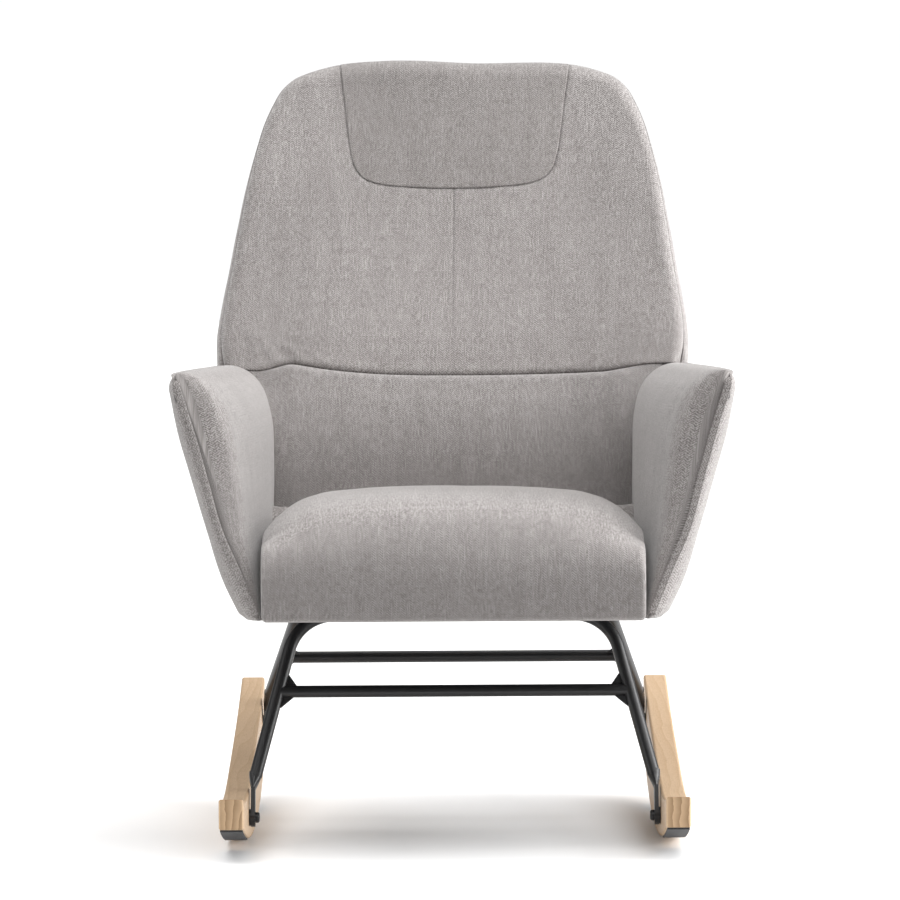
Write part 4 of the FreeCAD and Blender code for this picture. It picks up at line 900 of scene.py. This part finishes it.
def surface_x(table, y, z):
    """An arm surface between its stations and levels."""
    y, z = np.broadcast_arrays(np.asarray(y, float), np.asarray(z, float))
    flat = np.stack([smooth_through(LEVELS, row, z) for row in table], 0).reshape(len(table), -1)
    ys = np.array(ARM_Y)
    m = np.gradient(flat, ys, axis=0)
    yc = np.clip(y.ravel(), ys[0], ys[-1])
    i = np.clip(np.searchsorted(ys, yc) - 1, 0, len(ys) - 2)
    h = ys[i + 1] - ys[i]
    t = (yc - ys[i]) / h
    k = np.arange(flat.shape[1])
    out = ((1 + 2 * t) * (1 - t) ** 2 * flat[i, k] + t * (1 - t) ** 2 * h * m[i, k] +
           t * t * (3 - 2 * t) * flat[i + 1, k] + t * t * (t - 1) * h * m[i + 1, k])
    return out.reshape(z.shape)


def back_plane_y(z, n):
    """Where a level line meets the back at depth n."""
    w = (z - WAIST_Z - LS * n) / LC
    return WAIST_Y + LS * w - LC * n


def arm_end(z):
    """The arm stops on the back: on its padded front above the waist, on its
    frame below it."""
    front = back_plane_y(z, 0.0) - 1.0
    inside = back_plane_y(z, ARM_FRAME_DEPTH)
    return inside + (front - inside) * ease((z - 552.0) / 10.0)


def over_top(y, t):
    """Points on the rounded top of the arm; t runs from inside to outside."""
    top = smooth_through(ARM_Y, ARM_TOP, y)
    xi = surface_x(ARM_IN, y, SHOULDER_IN)
    lean = (surface_x(ARM_IN, y, SHOULDER_IN + 8.0) - xi) / 8.0
    xo = surface_x(ARM_OUT, y, SHOULDER_OUT)
    rise_in = 1.24 * (top - SHOULDER_IN)
    p1 = (xi + lean * rise_in, SHOULDER_IN + rise_in)
    p2 = (xo + 2.0, SHOULDER_OUT + 1.42 * (top - SHOULDER_OUT))
    a, b, c, d = (1 - t) ** 3, 3 * (1 - t) ** 2 * t, 3 * (1 - t) * t * t, t ** 3
    x = a * xi + b * p1[0] + c * p2[0] + d * xo
    z = a * SHOULDER_IN + b * p1[1] + c * p2[1] + d * SHOULDER_OUT
    return x, z


def pad_section(y, parts):
    """Closed line of the inner pad at heights of y given per point."""
    n1, n2, n3 = parts
    z = np.linspace(294.5, SHOULDER_IN - 3.0, n1)
    inner = surface_x(ARM_IN, y[:n1], z)
    tx, tz = over_top(y[n1:n1 + n2], np.linspace(0.0, TOP_SEAM, n2))
    yc = y[n1 + n2:]
    zc = np.linspace(564.0, 294.5, n3)
    hidden = np.maximum(surface_x(ARM_OUT, yc, zc) - 8.6, surface_x(ARM_IN, yc, zc) + 1.0)
    hidden = np.minimum(hidden, over_top(yc, TOP_SEAM)[0] - 0.4)
    return np.concatenate([inner, tx, hidden]), np.concatenate([z, tz, zc])


def skin_section(y, parts):
    """Closed line of the outer panel, from its foot over the top to the seam."""
    n1, n2, n3 = parts
    z = np.linspace(294.0, SHOULDER_OUT - 3.0, n1)
    puff = 1.2 * ease((z - 294) / 40.0) * ease((569 - z) / 60.0) * ease((y[:n1] + 389) / 50)
    outer = surface_x(ARM_OUT, y[:n1], z) + puff - rounded_edge(z - 293.5, 9.0)
    tx, tz = over_top(y[n1:n1 + n2], np.linspace(1.0, TOP_SEAM, n2))
    yc = y[n1 + n2:]
    zc = np.linspace(566.0, 294.0, n3)
    hidden = surface_x(ARM_OUT, yc, zc) - 8.0
    hidden = np.where(zc > 556.0, np.maximum(hidden, over_top(yc, TOP_SEAM)[0]), hidden)
    return np.concatenate([outer, tx, hidden]), np.concatenate([z, tz, zc])


def arm_rings(section, parts, rings=46):
    """Rings from the nose to the leaning back."""
    near = np.array([0, 0.002, 0.0045, 0.0075, 0.012, 0.018, 0.025, 0.034, 0.045, 0.06, 0.08])
    t = np.concatenate([near, np.linspace(0.105, 1.0, rings)])
    count = sum(parts)
    P = []
    for share in t:
        guess = ARM_Y[0] + share * (120.0 - ARM_Y[0])
        z = section(np.full(count, guess), parts)[1]
        y = ARM_Y[0] + share * (arm_end(z) - ARM_Y[0])
        x, z = section(y, parts)
        P.append(np.stack([x, y, z], -1))
    return np.array(P) * MM, t


def mirrored(P, side):
    return P * np.array([side, 1.0, 1.0])


def ring_lengths(P, ring):
    step = np.linalg.norm(np.diff(P[ring], axis=0), axis=-1)
    return np.concatenate([[0.0], np.cumsum(step)])


def arm_weave(P, shift):
    """Threads by depth along the arm and by length round its section."""
    line = P[:, WEAVE_RING]
    run = np.concatenate([[0.0], np.cumsum(np.linalg.norm(np.diff(line, axis=0), axis=1))])
    u = run[:, None] + P[..., 1] - line[:, 1][:, None]
    v = np.repeat(ring_lengths(P, WEAVE_RING)[None, :], P.shape[0], 0)
    return np.stack([u + shift, v, np.zeros_like(u)], -1)


def make_arm(side, label):
    """Inner pad, outer panel, felled seam and its stitches on one side."""
    P, t = arm_rings(pad_section, PAD_PARTS)
    shown = (np.arange(P.shape[1]) < PAD_PARTS[0] + PAD_PARTS[1])[None, :]
    seed = 51 if side > 0 else 55
    Q = mirrored(P, side)
    swell = (1.5 * bumps(Q, 0.10, seed) + 0.8 * bumps(Q, 0.035, seed + 1)) * MM
    swell = swell * ease(t / 0.05)[:, None] * shown
    P[..., 0] += swell * ease((P[..., 2] - 0.40) / 0.05)
    P[..., 2] += 0.4 * swell * ease((P[..., 2] - 0.545) / 0.035)
    bare = np.zeros(P.shape[:2])
    ob = tube_piece(label + "_arm_pad_cover", mirrored(P, side), arm_weave(P, 0.0), bare)
    finish_piece(ob, FABRIC, [label + "_arm_pad"])

    P = arm_rings(skin_section, SKIN_PARTS)[0]
    bare = np.zeros(P.shape[:2])
    ob = tube_piece(label + "_arm_outer_cover", mirrored(P, side), arm_weave(P, 0.2), bare)
    finish_piece(ob, FABRIC, [label + "_arm_outer_panel"])

    pts, ups = seam_path()
    pts, ups = mirrored(pts, side), mirrored(ups, side)
    ob = swept(label + "_arm_felled_seam", pts, ups, ring_section(4.6 * MM, 1.6 * MM, 20, 0.8))
    finish_piece(ob, FABRIC, [label + "_arm_piping"])
    stitch_row(label + "_arm_seam_stitches", pts, ups, side * 3.2, 1.35, 4.4, 0.3)


def seam_path():
    """Middle of the felled seam, up the front edge and back along the top."""
    z = np.linspace(299.0, 572.0, FELL_STEPS)
    x = smooth_through(LEVELS, SEAM_X, z) + 4.6
    front = np.stack([x, np.full(FELL_STEPS, FELL_Y), z], -1)
    y = np.linspace(-374.0, 176.0, FELL_STEPS)
    tx, tz = over_top(y, TOP_SEAM)
    top = np.stack([tx + 0.6, y, tz + 0.2], -1)
    a, b = front[-1], top[0]
    bend = np.linspace(0.0, math.pi / 2, FELL_TURN)[1:-1]
    turn = [a + (b - a) * np.array([1 - math.cos(k), 1 - math.cos(k), math.sin(k)]) for k in bend]
    pts = np.concatenate([front, turn, top])
    ang = np.concatenate([np.zeros(FELL_STEPS), bend, np.full(FELL_STEPS, math.pi / 2)])
    ups = np.stack([np.zeros_like(ang), -np.cos(ang), np.sin(ang)], -1)
    return pts * MM, ups


def stitch_row(name, pts, ups, offset, lift, pitch, radius):
    """Short thread lengths along a path; offsets in millimetres."""
    tan = np.gradient(pts, axis=0)
    tan /= np.linalg.norm(tan, axis=1)[:, None]
    line = pts + (np.cross(tan, ups) * offset + ups * lift) * MM
    line = even_points(line, pitch * MM)
    verts, faces = [], []
    for a, b in zip(line[:-1], line[1:]):
        mid, half = 0.5 * (a + b), 0.31 * (b - a)
        along = (b - a) / np.linalg.norm(b - a)
        ref = np.array([0.0, 0.0, 1.0]) if abs(along[2]) < 0.7 else np.array([0.0, 1.0, 0.0])
        s = np.cross(along, ref)
        s /= np.linalg.norm(s)
        q = np.cross(along, s)
        base = len(verts)
        for f, r in ((-1.0, 0.35), (-0.6, 1.0), (0.6, 1.0), (1.0, 0.35)):
            for k in range(6):
                ang = math.pi * 2 * k / 6
                verts.append(mid + half * f + (s * math.cos(ang) + q * math.sin(ang)) * radius * r * MM)
        for ring in range(3):
            for k in range(6):
                m = (k + 1) % 6
                low = base + ring * 6
                faces.append((low + k, low + m, low + 6 + m, low + 6 + k))
        faces.append(tuple(base + k for k in reversed(range(6))))
        faces.append(tuple(base + 18 + k for k in range(6)))
    ob = add_mesh(name, verts, faces)
    outward(ob)
    return finish_piece(ob, THREAD)


make_upper_back()
make_headrest()
make_lumbar()
make_side_band()
make_rear_panel()
make_back_piping()
make_seat()
make_arm(1.0, "right")
make_arm(-1.0, "left")


# ------------------------------------------------------------------ stage, light, camera
def plane(name, x_half, y_near, y_far, z):
    me = bpy.data.meshes.new(name)
    corners = [(-x_half, y_near, z), (x_half, y_near, z), (x_half, y_far, z), (-x_half, y_far, z)]
    me.from_pydata(corners, [], [(0, 1, 2, 3)])
    ob = bpy.data.objects.new(name, me)
    bpy.context.scene.collection.objects.link(ob)
    return ob


WHITE = (1.0, 1.0, 1.0, 1.0)
AMBIENT = 0.24                # light of the surroundings on the chair
SEEN_WHITE = 1.02             # the same surroundings as the camera sees them
FLOOR_HALF, FLOOR_NEAR, FLOOR_FAR = 12.0, -0.74, 30.0
FLOOR_Z = -0.0005
floor = plane("studio_floor", FLOOR_HALF, FLOOR_NEAR, FLOOR_FAR, FLOOR_Z)
ft = Tree("studio_floor")
ft.bsdf.inputs["Base Color"].default_value = (0.93, 0.93, 0.93, 1.0)
ft.bsdf.inputs["Roughness"].default_value = 0.9
ft.bsdf.inputs["Specular IOR Level"].default_value = 0.05
floor.data.materials.append(ft.mat)

world = bpy.data.worlds.new("studio")
bpy.context.scene.world = world
bpy.context.scene.view_settings.view_transform = "Standard"
world.use_nodes = True
wt = world.node_tree
bg = wt.nodes["Background"]
bg.inputs[0].default_value = WHITE
bg.inputs[1].default_value = AMBIENT
seen = wt.nodes.new("ShaderNodeBackground")
seen.inputs[0].default_value = WHITE
seen.inputs[1].default_value = SEEN_WHITE
path = wt.nodes.new("ShaderNodeLightPath")
pick = wt.nodes.new("ShaderNodeMixShader")
wt.links.new(path.outputs["Is Camera Ray"], pick.inputs[0])
wt.links.new(bg.outputs[0], pick.inputs[1])
wt.links.new(seen.outputs[0], pick.inputs[2])
wt.links.new(pick.outputs[0], wt.nodes["World Output"].inputs["Surface"])


def area(name, loc, target, size, power):
    li = bpy.data.lights.new(name, "AREA")
    li.shape = "RECTANGLE"
    li.size, li.size_y = size
    li.energy = power
    ob = bpy.data.objects.new(name, li)
    ob.location = loc
    ob.rotation_euler = (Vector(target) - Vector(loc)).to_track_quat("-Z", "Y").to_euler()
    bpy.context.scene.collection.objects.link(ob)
    return ob


KEY_WATTS, FILL_WATTS, SUN_STRENGTH = 116.0, 17.0, 4.1
SUN_ANGLE = 85.0              # degrees: a very large, soft light from above
area("key", (3.0, -0.25, 1.15), (0.0, -0.05, 0.5), (2.0, 2.0), KEY_WATTS)
area("fill", (-2.6, -1.2, 1.1), (0.0, 0.0, 0.5), (1.8, 1.8), FILL_WATTS)
sun = bpy.data.lights.new("top", "SUN")
sun.energy = SUN_STRENGTH
sun.angle = math.radians(SUN_ANGLE)
sun_ob = bpy.data.objects.new("top", sun)
sun_ob.rotation_euler = (math.radians(12.0), math.radians(10.0), 0.0)
bpy.context.scene.collection.objects.link(sun_ob)

CAMERA_GAP = 6.70             # from the front of the rockers
CAMERA_Z = 0.794
CAMERA_DOWN, CAMERA_ROLL, CAMERA_YAW = 2.548, 0.35, 0.0115    # degrees
LENS = 224.7                  # millimetres
SENSOR = 36.0
cam_data = bpy.data.cameras.new("camera")
cam_data.sensor_width = SENSOR
cam_data.sensor_fit = "HORIZONTAL"
cam_data.lens = LENS
cam_data.clip_end = 100.0
cam = bpy.data.objects.new("camera", cam_data)
rock_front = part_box("left_rocker")[0][1]
cam.location = (0.0, rock_front - CAMERA_GAP, CAMERA_Z)
cam.rotation_mode = "XYZ"
turned = (90.0 - CAMERA_DOWN, CAMERA_ROLL, CAMERA_YAW)
cam.rotation_euler = tuple(math.radians(a) for a in turned)
bpy.context.scene.collection.objects.link(cam)
bpy.context.scene.camera = cam
